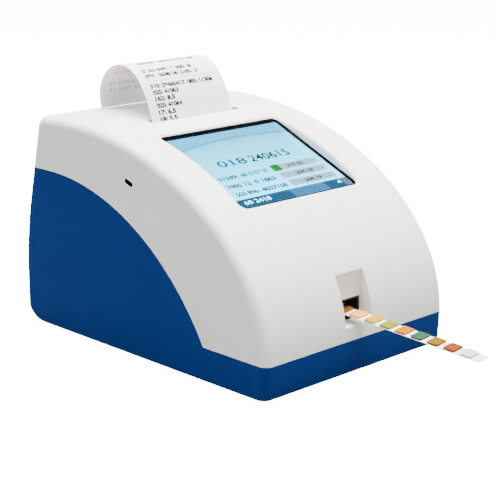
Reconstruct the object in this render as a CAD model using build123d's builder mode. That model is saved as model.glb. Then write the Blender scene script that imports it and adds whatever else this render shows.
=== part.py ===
"""Benchtop urine strip analyzer: a two-shell housing with a touch screen, a strip tray that runs
in and out of a front hatch, a thermal receipt printer with its roll, a rear paper door and rear
connectors. Millimetres, +Z up, the front faces -Y, and the origin is under the middle of the
analyzer and its strip, on the bench."""

import os
from math import asin, atan2, cos, degrees, pi, radians, sin, sqrt, tan

from build123d import *

os.makedirs("parts", exist_ok=True)


def write(piece, name):
    """Label a finished piece and write it to its own file."""
    piece.part.label = name
    export_step(piece.part, f"parts/{name}.step")


# ---------------------------------------------------------------- driving dimensions

# Housing. Depths are measured back from the foremost point of the front, heights from the bench.
housing_width = 132.0
housing_depth = 190.2
foot_height = 1.5
base_front_height = 17.0
wall = 2.5
edge_radius = 4.6
rear_top_radius = 7.5
rear_bottom_radius = 16.0
seam_gap = 0.25
strip_reach = 76.0

front_y = (strip_reach - housing_depth) / 2
rear_y = front_y + housing_depth
seam_z = foot_height + base_front_height
floor_z = foot_height + wall
half_width = housing_width / 2

# Crown: the side view of the front and top is a quarter ellipse that stands upright at the seam.
crown_reach = 151.3
crown_height = 99.4
front_undercut_radius = 103.0
undercut_angle = 11.0
crown_y = front_y + crown_reach

# Rear wall: upright above the base, then bowed forward, then straight and leaning.
rear_lean = 13.2
rear_bow_radius = 212.0
rear_bow_bottom = 4.7

# Side seam: level, then a long arc that rises to the rear shoulder.
seam_arc_radius = 140.3
seam_arc_depth = 165.0
seam_arc_drop = 70.7
seam_corner_radius = 2.5

# Screen: a 4.0 inch panel below a window in the crown.
window_low_depth = 39.9
window_high_depth = 102.0
window_width = 84.6
window_corner_radius = 4.0
window_edge_radius = 2.2
screen_recess = 2.2
rim_wall = 3.0
gasket_thickness = 0.8
glass_thickness = 1.8
glass_overlap = 2.2
lcd_thickness = 4.2
bracket_thickness = 1.2
screen_gap = 0.3

# Hatch in the front, where the test strip comes out.
hatch_width = 20.3
hatch_sill_height = 25.8
hatch_top_height = 51.3
hatch_depth = 10.0
hatch_top_depth = 8.6
port_low_height = 24.7
port_high_height = 36.9
hatch_wall = 2.5
liner_wall = 0.8
liner_flange = 1.0
liner_length = 7.5

# Test strip and its reagent pads.
strip_width = 8.2
strip_thickness = 0.4
strip_inner_depth = 52.0
strip_bend_depth = 16.0
strip_height = 30.8
strip_droop = 2.8
strip_roll = 4.5
pad_length = 6.6
pad_thickness = 0.8
pad_pitch = 9.85
pad_count = 10
last_pad_depth = 20.9
pad_margin = 0.2
pad_corner_radius = 0.9
strip_corner_radius = 1.6

# Receipt paper, its slot and its roll.
slot_front_depth = 119.3
slot_rear_depth = 124.3
slot_width = 64.0
paper_width = 57.2
paper_thickness = 0.25
paper_x = -2.2
paper_lean = 22.0
paper_rise = 10.0
curl_radius = 41.7
curl_turn = 22.0
loop_radius = 18.5
loop_turn = 156.6
web_bend_radius = 15.0
lip_bend_radius = 8.0
roll_radius = 19.0
roll_core_radius = 7.0
roll_depth = 158.0
roll_height = 70.0

# Strip tray, its bed and its drive.
tray_width = 14.0
tray_front_depth = 18.0
tray_rear_depth = 100.0
tray_travel = 80.0
tray_floor_height = 26.2
groove_depth = 1.2
groove_width = 9.8
tray_deck_height = 31.4
gear_module = 0.8
rack_width = 4.0
drive_teeth = 16
pinion_teeth = 10
drive_gear_depth = 97.0
bed_wall = 2.0
bed_floor_height = 21.0

bed_front_depth = 18.0
bed_rear_depth = 184.0
ledge_x = 4.8
lip_reach = 5.9
lip_thickness = 1.0
cheek_drop = 3.5
mesh_gap = 0.15
axle_radius = 1.25
tray_motor_radius = 7.5
tray_motor_length = 12.0
motor_collar_radius = 2.0
reference_depth = 62.0
reference_width = 8.0
reference_length = 10.0
reference_sink = 0.8

# Optical head over the tray.
head_depth = 52.0
head_length = 26.0
head_width = 30.0
head_low_height = 34.0
head_height = 13.0
lens_radius = 3.2
lens_thickness = 1.8

# Printer.
frame_wall = 2.0
frame_foot_height = 48.0
plate_inside = 31.0
plate_front_depth = 109.0
plate_rear_depth = 172.0
plate_top_height = 110.0
web_low_depth = 117.6
web_low_height = 98.0
web_slot_gap = 0.35
web_slot_height = 115.0
platen_depth = 124.2
platen_height = 106.0
platen_radius = 5.0
shaft_radius = 2.0
platen_teeth = 20
motor_teeth = 10
printer_module = 0.6
platen_gear_width = 3.0
print_face_depth = 117.75
print_head_depth = 113.2
print_head_low = 102.5
print_head_high = 110.0
print_bar_thickness = 1.5
spring_radius = 2.0
spindle_radius = 2.5
hub_radius = 5.5
core_radius = 5.7
cradle_gap = 2.0
cradle_thickness = 1.5
motor_arm_height = 84.0
motor_plate_height = 104.0
print_motor_radius = 7.5
print_motor_length = 12.0

# Paper door in the rear wall, on a hinge along its lower edge.
door_width = 65.2
door_low_height = 43.5
door_high_height = 84.0
door_gap = 0.4
hinge_height = 46.0
hinge_radius = 2.05
hinge_pin_radius = 0.85
hinge_pin_length = 9.0
catch_height = 79.0
catch_width = 48.0
catch_thickness = 1.0
catch_rib_low = 5.6
catch_rib_high = 8.0
magnet_radius = 3.0
magnet_thickness = 2.0
magnet_x = 20.0
grip_width = 18.0
grip_height = 3.6
grip_depth = 1.3

# Main board and rear connectors.
board_height = 13.0
board_thickness = 1.6
board_width = 114.0
board_front_depth = 119.0
board_rear_depth = 182.0
connector_face_depth = 189.5
serial_x = -32.0
usb_x = 18.0
jack_x = 35.0
rocker_x = 52.0
jackscrew_spacing = 25.0
jackscrew_bore = 1.42

# Feet and housing screws.
foot_radius = 6.0
foot_recess = 1.0
foot_x = 50.0
front_foot_depth = 18.0
rear_foot_depth = 162.0
boss_x = 50.0
front_boss_depth = 34.0
rear_boss_depth = 150.0
front_split_height = 19.5
rear_split_height = 80.0

# Security slot in the left wall.
lock_depth = 98.1
lock_height = 92.4
lock_tilt = 19.0
lock_length = 6.4
lock_slot_width = 2.5
lock_plate_thickness = 1.0

# Rear connector bodies and the power switch.
serial_width = 31.0
serial_height = 12.6
usb_width = 12.0
usb_height = 10.8
jack_width = 9.0
jack_height = 11.0
rocker_width = 9.0
rocker_length = 13.5
rocker_height = 22.0

rocker_pivot_depth = 184.7
rocker_swing = 16.0
rocker_pin_radius = 1.0
switch_wall = 0.6
cell_radius = 10.0
cell_thickness = 3.2

# Posts inside the lower shell.
post_x = 14.0
post_depths = (30.0, 72.0)
frame_post_offset = 37.2
frame_post_depths = (114.0, 166.0)
board_post_x = 53.0
board_post_depths = (124.0, 164.0)
tall_boss_radius = 5.0
tall_boss_bore = 3.4
boss_roof = 5.0
hinge_pin_grip = 4.5

# General clearances and fasteners.
clearance = 0.3
running_gap = 0.05
screw_radius = 1.5
screw_hole_radius = 1.7
pilot_radius = 1.25
screw_grip = 7.0
small_screw_grip = 5.0
screw_head_radius = 2.8
screw_head_height = 2.2
boss_radius = 4.0
tiny = 0.01


# ---------------------------------------------------------------- helpers


def seam_region(rise):
    """Everything below the side seam, drawn on the YZ plane, with the seam raised by rise."""
    radius = seam_arc_radius + rise
    arc_y = front_y + seam_arc_depth
    arc_z = seam_z - seam_arc_drop
    level = seam_z + rise
    start_y = arc_y - sqrt(radius**2 - (level - arc_z) ** 2)
    start_angle = degrees(atan2(level - arc_z, start_y - arc_y))
    below = foot_height - 20
    with BuildSketch(Plane.YZ, mode=Mode.PRIVATE) as region:
        with BuildLine():
            flat = Line((front_y - 20, level), (start_y, level))
            arc = CenterArc((arc_y, arc_z), radius, start_angle, 90 - start_angle)
            Polyline(
                arc @ 1 if (arc @ 1).Y > (arc @ 0).Y else arc @ 0,
                (rear_y + 20, arc_z + radius),
                (rear_y + 20, below),
                (front_y - 20, below),
                flat @ 0,
            )
        make_face()
        corner = region.vertices().sort_by(Axis.Z)
        corner = [v for v in corner if abs(v.Y - start_y) < 0.01]
        fillet(corner, seam_corner_radius)
    return region.sketch


def side_profile(inset):
    """The housing seen from the side, on the YZ plane, with every edge moved in by inset."""
    with BuildSketch(Plane.YZ, mode=Mode.PRIVATE) as walls:
        with BuildLine():
            bow_start = (rear_y, seam_z + rear_bow_bottom)
            bow = JernArc(bow_start, (0, 1), rear_bow_radius, rear_lean)
            lean = PolarLine(bow @ 1, crown_height, direction=bow % 1)
            undercut = JernArc((front_y, seam_z), (0, -1), front_undercut_radius, undercut_angle)
            Polyline(lean @ 1, (front_y, (lean @ 1).Y), undercut @ 0)
            Polyline(
                undercut @ 1,
                ((undercut @ 1).X, foot_height - 10),
                (rear_y, foot_height - 10),
                bow_start,
            )
        make_face()
    with BuildSketch(Plane.YZ, mode=Mode.PRIVATE) as crown:
        with Locations((crown_y, seam_z)):
            Ellipse(crown_reach - inset, crown_height - inset)
            Rectangle(2 * crown_reach + 20, crown_height, align=(Align.CENTER, Align.MAX))
    if inset == 0:
        return crown.sketch & walls.sketch
    return crown.sketch & (Sketch() + offset(walls.sketch.faces()[0], amount=-inset))


def base_region(inset):
    """The inside of the bench line and the rounded heel, on the YZ plane, moved in by inset."""
    low, back = foot_height + inset, rear_y - inset
    with BuildSketch(Plane.YZ, mode=Mode.PRIVATE) as region:
        with BuildLine():
            FilletPolyline(
                (front_y - 20, low), (back, low), (back, 200), radius=rear_bottom_radius - inset
            )
            Polyline((back, 200), (front_y - 20, 200), (front_y - 20, low))
        make_face()
    return region.sketch


def across(sketch, width, centre_x=0.0):
    """A solid of a YZ sketch, width wide and centred on centre_x."""
    placed = sketch.moved(Location((centre_x - width / 2, 0, 0)))
    return extrude(placed, amount=width, mode=Mode.PRIVATE)


def gear_teeth(module, teeth, centre, turn=0.0):
    """Outline of a spur gear around centre, with one tooth pointing at the angle turn."""
    pitch_radius = module * teeth / 2
    root, tip = pitch_radius - 1.15 * module, pitch_radius + 0.9 * module
    root_half, tip_half = 0.36 * pi * module / 1.3, 0.1 * pi * module
    with BuildSketch(mode=Mode.PRIVATE) as outline:
        Circle(root)
        with PolarLocations(0, teeth, start_angle=turn):
            Polygon(
                (root - module / 4, -root_half),
                (tip, -tip_half),
                (tip, tip_half),
                (root - module / 4, root_half),
                align=None,
            )
    return outline.sketch.moved(Location(centre))


def crown_z(depth):
    """Height of the crown's surface at a depth behind the front."""
    return seam_z + crown_height * sqrt(1 - ((crown_reach - depth) / crown_reach) ** 2)


with BuildPart() as outer_form:
    add(across(side_profile(0), housing_width))
    fillet(outer_form.edges().filter_by(Axis.X).sort_by(Axis.Z)[-1], rear_top_radius)
    fillet(outer_form.faces().filter_by(Axis.X).edges(), edge_radius)
    add(across(base_region(0), housing_width + 10), mode=Mode.INTERSECT)


def inset_form(inset):
    """The housing's form moved in by inset on every side."""
    with BuildPart(mode=Mode.PRIVATE) as form:
        add(across(side_profile(inset), housing_width - 2 * inset))
        fillet(form.edges().filter_by(Axis.X).sort_by(Axis.Z)[-1], rear_top_radius - inset)
        add(across(base_region(inset), housing_width), mode=Mode.INTERSECT)
    return form.part


inner_form = inset_form(wall)


def rear_face_depth(height):
    """Depth of the rear wall's outer face at a height above the base."""
    rise = height - seam_z - rear_bow_bottom
    bow_rise = rear_bow_radius * sin(radians(rear_lean))
    bowed = min(rise, bow_rise)
    depth = housing_depth - rear_bow_radius * (1 - cos(asin(bowed / rear_bow_radius)))
    return depth - (rise - bowed) * tan(radians(rear_lean))


# ---------------------------------------------------------------- screen frame of reference

window_low = Vector(0, front_y + window_low_depth, crown_z(window_low_depth))
window_high = Vector(0, front_y + window_high_depth, crown_z(window_high_depth))
window_length = (window_high - window_low).length
screen_normal = Vector(1, 0, 0).cross(window_high - window_low).normalized()
screen_centre = (window_low + window_high) / 2 - screen_normal * screen_recess
screen_plane = Plane(origin=screen_centre, x_dir=(1, 0, 0), z_dir=screen_normal)

glass_width = window_width + 2 * glass_overlap
glass_length = window_length + 2 * glass_overlap
lcd_top = -glass_thickness - screen_gap
bracket_top = lcd_top - lcd_thickness - screen_gap
bracket_points = GridLocations(101.0, 50.0, 2, 2)


# ---------------------------------------------------------------- upper shell

slot_depth = (slot_front_depth + slot_rear_depth) / 2
hatch_back = hatch_depth + hatch_wall

with BuildPart() as upper_blocks:
    # The rim that the screen's glass bears against from inside.
    with BuildSketch(screen_plane.offset(gasket_thickness)):
        RectangleRounded(
            window_width + 2 * rim_wall,
            window_length + 2 * rim_wall,
            window_corner_radius + rim_wall,
        )
    extrude(amount=12)
    # Screw posts for the screen bracket.
    with BuildSketch(screen_plane.offset(bracket_top)):
        with bracket_points:
            Circle(boss_radius - 0.5)
    extrude(amount=25)
    # The block that the hatch pocket is cut from.
    hatch_low, hatch_high = seam_z + seam_gap, hatch_top_height + hatch_wall
    with BuildSketch(Plane.YZ.offset(-hatch_width / 2 - hatch_wall)):
        with Locations((front_y - 5, hatch_low)):
            Rectangle(hatch_back + 5, hatch_high - hatch_low, align=(Align.MIN, Align.MIN))
    extrude(amount=hatch_width + 2 * hatch_wall)
    # Screw posts that stand on the posts of the lower shell.
    for depth, height in (
        (front_boss_depth, front_split_height + seam_gap),
        (rear_boss_depth, rear_split_height + seam_gap),
    ):
        with BuildSketch(Plane.XY.offset(height)):
            with Locations((0, front_y + depth)):
                with GridLocations(2 * boss_x, 1, 2, 1):
                    Circle(boss_radius)
        extrude(amount=housing_depth)

with BuildPart() as upper_shell:
    add(outer_form.part)
    add(across(seam_region(seam_gap), housing_width + 10), mode=Mode.SUBTRACT)
    # Screen window, square to the glass.
    with BuildSketch(screen_plane):
        RectangleRounded(window_width, window_length, window_corner_radius)
    extrude(amount=20, mode=Mode.SUBTRACT)
    on_screen = screen_plane.to_local_coords
    mouth = [
        edge
        for edge in upper_shell.edges()
        if abs(on_screen(edge.center()).X) <= window_width / 2 + tiny
        and abs(on_screen(edge.center()).Y) <= window_length / 2 + tiny
        and all(on_screen(v.center()).Z > 2 * gasket_thickness for v in edge.vertices())
    ]
    fillet(mouth, window_edge_radius)
    # The cavity, which leaves the walls and the blocks standing.
    add(inner_form - upper_blocks.part, mode=Mode.SUBTRACT)
    # Seat for the gasket and the glass, behind the window's rim.
    with BuildSketch(screen_plane.offset(gasket_thickness)):
        RectangleRounded(
            glass_width + 2 * clearance,
            glass_length + 2 * clearance,
            window_corner_radius + glass_overlap + clearance,
        )
    extrude(amount=-8, mode=Mode.SUBTRACT)
    # Hatch pocket, then the port through its back wall.
    with BuildSketch(Plane.YZ.offset(-hatch_width / 2)):
        with BuildLine():
            Polyline(
                (front_y - 5, hatch_sill_height),
                (front_y + hatch_depth, hatch_sill_height),
                (front_y + hatch_depth, port_high_height),
                (front_y + hatch_top_depth, hatch_top_height),
                (front_y - 5, hatch_top_height),
                close=True,
            )
        make_face()
    extrude(amount=hatch_width, mode=Mode.SUBTRACT)
    with BuildSketch(Plane.YZ.offset(-hatch_width / 2)):
        with Locations((front_y + hatch_depth, port_low_height)):
            Rectangle(
                2 * hatch_wall, port_high_height - port_low_height, align=(Align.MIN, Align.MIN)
            )
    extrude(amount=hatch_width, mode=Mode.SUBTRACT)
    # Receipt slot.
    with BuildSketch(Plane.XY.offset(crown_z(slot_front_depth) - 4 * wall)):
        with Locations((0, front_y + slot_depth)):
            RectangleRounded(slot_width, slot_rear_depth - slot_front_depth, 1.2)
    extrude(amount=8 * wall, mode=Mode.SUBTRACT)
    # Security slot in the left wall, tilted down to the front.
    with BuildSketch(Plane.YZ.offset(-half_width - 1)):
        with Locations(Location((front_y + lock_depth, lock_height, 0), lock_tilt)):
            SlotOverall(lock_length, lock_slot_width)
    extrude(amount=wall + 2, mode=Mode.SUBTRACT)
    # Screw bores.
    with BuildSketch(screen_plane.offset(bracket_top)):
        with bracket_points:
            Circle(pilot_radius)
    extrude(amount=screw_grip, mode=Mode.SUBTRACT)
    for depth, height in (
        (front_boss_depth, front_split_height + seam_gap),
        (rear_boss_depth, rear_split_height + seam_gap),
    ):
        with BuildSketch(Plane.XY.offset(height)):
            with Locations((0, front_y + depth)):
                with GridLocations(2 * boss_x, 1, 2, 1):
                    Circle(pilot_radius)
        extrude(amount=screw_grip, mode=Mode.SUBTRACT)

write(upper_shell, "upper_shell")


# ---------------------------------------------------------------- lower shell

catch_plane = Plane(
    origin=(0, front_y + rear_face_depth(catch_height), catch_height),
    x_dir=(-1, 0, 0),
    z_dir=(0, cos(radians(rear_lean)), sin(radians(rear_lean))),
)
catch_face = -(wall + magnet_thickness + clearance)
door_centre_z = (door_low_height + door_high_height) / 2
hinge_y = front_y + rear_face_depth(hinge_height) - hinge_radius
lug_height = 2.5
rail_posts = [(side * post_x, front_y + depth) for depth in post_depths for side in (-1, 1)]
frame_posts = [
    (paper_x + side * frame_post_offset, front_y + depth)
    for depth in frame_post_depths
    for side in (-1, 1)
]
board_posts = [
    (side * board_post_x, front_y + depth) for depth in board_post_depths for side in (-1, 1)
]
rear_ports = (
    (serial_x, serial_width, serial_height),
    (usb_x, usb_width, usb_height),
    (jack_x, jack_width, jack_height),
)
board_top = board_height + board_thickness

with BuildPart() as lower_blocks:
    # Posts for the tray bed, the printer frame, the main board and the upper shell.
    for places, radius, height in (
        (rail_posts, boss_radius - 0.5, bed_floor_height),
        (frame_posts, boss_radius - 0.5, frame_foot_height),
        (board_posts, boss_radius - 0.5, board_height),
    ):
        with BuildSketch(Plane.XY.offset(foot_height)):
            with Locations(*places):
                Circle(radius)
        extrude(amount=height - foot_height)
    for depth, height in (
        (front_boss_depth, front_split_height),
        (rear_boss_depth, rear_split_height),
    ):
        with BuildSketch(Plane.XY.offset(foot_height)):
            with Locations((0, front_y + depth)):
                with GridLocations(2 * boss_x, 1, 2, 1):
                    Circle(tall_boss_radius)
        extrude(amount=height - foot_height)
    # Lugs that hold the door's hinge pins.
    lug_width = hinge_pin_length - hinge_pin_grip + 1
    lug_x = (door_width + door_gap + lug_width) / 2
    with BuildSketch(Plane.XY.offset(hinge_height - lug_height)):
        with Locations((0, hinge_y)):
            with GridLocations(2 * lug_x, 1, 2, 1):
                Rectangle(lug_width, 2 * hinge_radius + 1)
    extrude(amount=2 * lug_height)
    # Rib above the door that carries the steel catch plate.
    with BuildSketch(catch_plane.offset(catch_face)):
        with Locations((0, (catch_rib_low + catch_rib_high) / 2)):
            Rectangle(catch_width - 8, catch_rib_high - catch_rib_low)
    extrude(amount=-catch_face)
    # Thicker wall around the power switch.
    with BuildSketch(Plane.XZ.offset(-(rear_y - wall - 1))):
        with Locations((rocker_x, rocker_height)):
            Rectangle(rocker_width + 3, rocker_length + 3)
    extrude(amount=-(wall + 1))

with BuildPart() as lower_shell:
    add(outer_form.part)
    add(across(seam_region(0), housing_width + 10), mode=Mode.INTERSECT)
    # The cavity, which leaves the walls and the blocks standing.
    add(inner_form - lower_blocks.part, mode=Mode.SUBTRACT)
    # Recesses for the rubber feet.
    with BuildSketch(Plane.XY.offset(foot_height)):
        for depth in (front_foot_depth, rear_foot_depth):
            with Locations((0, front_y + depth)):
                with GridLocations(2 * foot_x, 1, 2, 1):
                    Circle(foot_radius)
    extrude(amount=foot_recess, mode=Mode.SUBTRACT)
    # Housing screw bores with deep counterbores from below.
    for depth, height in (
        (front_boss_depth, front_split_height),
        (rear_boss_depth, rear_split_height),
    ):
        with Locations((0, front_y + depth, foot_height)):
            with GridLocations(2 * boss_x, 1, 2, 1):
                Cylinder(
                    tall_boss_bore,
                    height - boss_roof - foot_height,
                    align=(Align.CENTER, Align.CENTER, Align.MIN),
                    mode=Mode.SUBTRACT,
                )
                Cylinder(
                    screw_hole_radius,
                    height - foot_height + 1,
                    align=(Align.CENTER, Align.CENTER, Align.MIN),
                    mode=Mode.SUBTRACT,
                )
    # Pilot bores in the inner posts.
    for places, height in (
        (rail_posts, bed_floor_height),
        (frame_posts, frame_foot_height),
        (board_posts, board_height),
    ):
        with BuildSketch(Plane.XY.offset(height)):
            with Locations(*places):
                Circle(pilot_radius)
        extrude(amount=-small_screw_grip, mode=Mode.SUBTRACT)
    # Rear openings: paper door, connectors and power switch.
    with BuildSketch(Plane.XZ.offset(-(rear_y - 14))):
        with Locations((0, door_centre_z)):
            Rectangle(door_width + 2 * door_gap, door_high_height - door_low_height)
    extrude(amount=-20, mode=Mode.SUBTRACT)
    with BuildSketch(Plane.XZ.offset(-(rear_y - 5))):
        for x, width, height in rear_ports:
            with Locations((x, board_top + height / 2)):
                RectangleRounded(width + 2 * clearance, height + 2 * clearance, 0.6)
        with Locations((rocker_x, rocker_height)):
            Rectangle(rocker_width + 2 * clearance, rocker_length + 2 * clearance)
    extrude(amount=-10, mode=Mode.SUBTRACT)
    # Bores for the hinge pins.
    with Locations(Location((0, hinge_y, hinge_height), (0, 90, 0))):
        Cylinder(
            hinge_pin_radius + running_gap,
            door_width + 2 * (hinge_pin_length - hinge_pin_grip) + 2 * door_gap,
            mode=Mode.SUBTRACT,
        )

write(lower_shell, "lower_shell")

with BuildPart() as rubber_feet:
    with BuildSketch(Plane.XY):
        for depth in (front_foot_depth, rear_foot_depth):
            with Locations((0, front_y + depth)):
                with GridLocations(2 * foot_x, 1, 2, 1):
                    Circle(foot_radius - running_gap)
    extrude(amount=foot_height + foot_recess)
    chamfer(rubber_feet.faces().sort_by(Axis.Z)[:4].edges(), 0.5)
write(rubber_feet, "rubber_feet")

with BuildPart() as housing_screws:
    for depth, height in (
        (front_boss_depth, front_split_height - boss_roof),
        (rear_boss_depth, rear_split_height - boss_roof),
    ):
        with Locations((0, front_y + depth, height)):
            with GridLocations(2 * boss_x, 1, 2, 1):
                Cylinder(
                    screw_head_radius,
                    screw_head_height,
                    align=(Align.CENTER, Align.CENTER, Align.MAX),
                )
                Cylinder(
                    pilot_radius - running_gap,
                    boss_roof + screw_grip - 1,
                    align=(Align.CENTER, Align.CENTER, Align.MIN),
                )
write(housing_screws, "housing_screws")

with BuildPart() as lock_plate:
    with BuildSketch(Plane.YZ.offset(-half_width + wall)):
        with Locations(Location((front_y + lock_depth, lock_height, 0), lock_tilt)):
            RectangleRounded(3 * lock_length, 4 * lock_slot_width, 1)
            SlotOverall(lock_length, lock_slot_width, mode=Mode.SUBTRACT)
    extrude(amount=lock_plate_thickness)
write(lock_plate, "lock_plate")


# ---------------------------------------------------------------- screen

with BuildPart() as screen_gasket:
    with BuildSketch(screen_plane):
        RectangleRounded(glass_width, glass_length, window_corner_radius + glass_overlap)
        RectangleRounded(window_width, window_length, window_corner_radius, mode=Mode.SUBTRACT)
    extrude(amount=gasket_thickness)
write(screen_gasket, "screen_gasket")

with BuildPart() as touch_glass:
    with BuildSketch(screen_plane):
        RectangleRounded(glass_width, glass_length, window_corner_radius + glass_overlap)
    extrude(amount=-glass_thickness)
write(touch_glass, "touch_glass")

with BuildPart() as lcd_module:
    with BuildSketch(screen_plane.offset(lcd_top)):
        RectangleRounded(glass_width - 1, glass_length - 1, 1)
    extrude(amount=-lcd_thickness)
write(lcd_module, "lcd_module")

with BuildPart() as screen_bracket:
    with BuildSketch(screen_plane.offset(bracket_top)):
        RectangleRounded(glass_width - 4, glass_length - 6, 2)
        with bracket_points:
            Circle(boss_radius)
        with GridLocations(1, 50.0, 1, 2):
            Rectangle(101.0, 2 * boss_radius)
        with bracket_points:
            Circle(screw_hole_radius, mode=Mode.SUBTRACT)
        RectangleRounded(glass_width / 2, glass_length / 3, 3, mode=Mode.SUBTRACT)
    extrude(amount=-bracket_thickness)
write(screen_bracket, "screen_bracket")

with BuildPart() as bracket_screws:
    with BuildSketch(screen_plane.offset(bracket_top - bracket_thickness)):
        with bracket_points:
            Circle(screw_head_radius)
    extrude(amount=-screw_head_height)
    with BuildSketch(screen_plane.offset(bracket_top - bracket_thickness)):
        with bracket_points:
            Circle(pilot_radius - running_gap)
    extrude(amount=bracket_thickness + screw_grip - 1)
write(bracket_screws, "bracket_screws")


# ---------------------------------------------------------------- hatch liner, tray and strip

liner_width = hatch_width - 2 * running_gap
liner_low, liner_high = port_low_height + running_gap, port_high_height - running_gap
with BuildPart() as hatch_liner:
    with BuildSketch(Plane.XZ.offset(-(front_y + hatch_depth))):
        with Locations((0, (liner_low + liner_high) / 2)):
            Rectangle(liner_width, liner_high - liner_low)
    extrude(amount=-liner_length)
    with BuildSketch(Plane.XZ.offset(-(front_y + hatch_back))):
        with Locations((0, (liner_low + liner_high) / 2)):
            Rectangle(hatch_width + 2 * hatch_wall, liner_high - liner_low + 2 * hatch_wall)
    extrude(amount=-liner_flange)
    with BuildSketch(Plane.XZ.offset(-(front_y + hatch_depth - 1))):
        with Locations((0, (liner_low + liner_high) / 2)):
            Rectangle(liner_width - 2 * liner_wall, liner_high - liner_low - 2 * liner_wall)
    extrude(amount=-(liner_length + 5), mode=Mode.SUBTRACT)
write(hatch_liner, "hatch_liner")

# The tray: a deck with a groove for the strip and a rack of teeth below.
tray_length = tray_rear_depth - tray_front_depth
rack_pitch = pi * gear_module
rack_root = tray_floor_height
rack_line = rack_root - 1.15 * gear_module
drive_radius = gear_module * drive_teeth / 2
pinion_radius = gear_module * pinion_teeth / 2
drive_z = rack_line - drive_radius - mesh_gap
drive_y = front_y + drive_gear_depth
pinion_y = drive_y + drive_radius + pinion_radius + mesh_gap
rack_first = drive_y - rack_pitch * (int((drive_gear_depth - tray_front_depth) / rack_pitch) - 0.5)
rack_count = int((front_y + tray_rear_depth - 1 - rack_first) / rack_pitch) + 1

with BuildPart() as strip_tray:
    with BuildSketch(Plane.XZ.offset(-(front_y + tray_front_depth))):
        with Locations((0, tray_floor_height)):
            Rectangle(
                tray_width, tray_deck_height - tray_floor_height, align=(Align.CENTER, Align.MIN)
            )
        with Locations((0, tray_deck_height)):
            Rectangle(
                groove_width, groove_depth, align=(Align.CENTER, Align.MAX), mode=Mode.SUBTRACT
            )
    extrude(amount=-tray_length)
    upright = strip_tray.edges().filter_by(Axis.Z).group_by(Axis.Y)[-1]
    fillet(upright.filter_by(lambda edge: abs(edge.center().X) > groove_width / 2 + tiny), 1.5)
    # Recess for the white reference pad behind the strip.
    with BuildSketch(Plane.XY.offset(tray_deck_height - groove_depth)):
        with Locations((0, front_y + reference_depth)):
            Rectangle(reference_width + 2 * running_gap, reference_length + 2 * running_gap)
    extrude(amount=-reference_sink, mode=Mode.SUBTRACT)
    with BuildSketch(Plane.YZ.offset(-rack_width / 2)):
        for tooth in range(rack_count):
            with Locations((rack_first + tooth * rack_pitch, rack_root)):
                Polygon(
                    (-0.33 * rack_pitch, 0.2),
                    (-0.1 * rack_pitch, -2.05 * gear_module),
                    (0.1 * rack_pitch, -2.05 * gear_module),
                    (0.33 * rack_pitch, 0.2),
                    align=None,
                )
    extrude(amount=rack_width)
write(strip_tray, "strip_tray")

with BuildPart() as reference_pad:
    with BuildSketch(Plane.XY.offset(tray_deck_height - groove_depth - reference_sink)):
        with Locations((0, front_y + reference_depth)):
            Rectangle(reference_width, reference_length)
    extrude(amount=reference_sink + 0.4)
    chamfer(reference_pad.faces().sort_by(Axis.Z)[-1].edges(), 0.2)
write(reference_pad, "reference_pad")

# The strip lies rolled a little to one side, and droops once it is clear of the tray.
bend_y = front_y + strip_bend_depth
roll = radians(strip_roll)
droop = radians(strip_droop)
strip_side = Plane(
    origin=(0, bend_y, strip_height), x_dir=(0, 1, 0), z_dir=(cos(roll), 0, sin(roll))
)
tip_run = (strip_reach + strip_bend_depth) / cos(droop)
tip = (-tip_run * cos(droop), -tip_run * sin(droop))
inner_run = strip_inner_depth - strip_bend_depth
with BuildPart() as test_strip:
    with BuildSketch(strip_side.offset(-strip_width / 2)):
        with BuildLine():
            Polyline(
                tip,
                (0, 0),
                (inner_run, 0),
                (inner_run, strip_thickness),
                (0, strip_thickness),
                (tip[0], tip[1] + strip_thickness),
                close=True,
            )
        make_face()
    extrude(amount=strip_width)
    corners = test_strip.edges().filter_by(lambda edge: edge.length < 2 * strip_thickness)
    fillet(corners.group_by(Axis.Y)[0], strip_corner_radius)
write(test_strip, "test_strip")

with BuildPart() as reagent_pads:
    with BuildSketch(strip_side.offset(-strip_width / 2 + pad_margin)):
        for pad in range(pad_count):
            along = last_pad_depth - strip_bend_depth - pad * pad_pitch
            tilt = strip_droop if along < 0 else 0
            place = (
                along * cos(radians(tilt)),
                along * sin(radians(tilt)) + strip_thickness,
                0,
            )
            with Locations(Location(place, tilt)):
                Rectangle(pad_length, pad_thickness, align=(Align.CENTER, Align.MIN))
    extrude(amount=strip_width - 2 * pad_margin)
    for solid in reagent_pads.solids():
        upright = solid.edges().filter_by(lambda e: e.length < 1.5 * pad_thickness)
        fillet(upright, pad_corner_radius)
write(reagent_pads, "reagent_pads")

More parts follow.
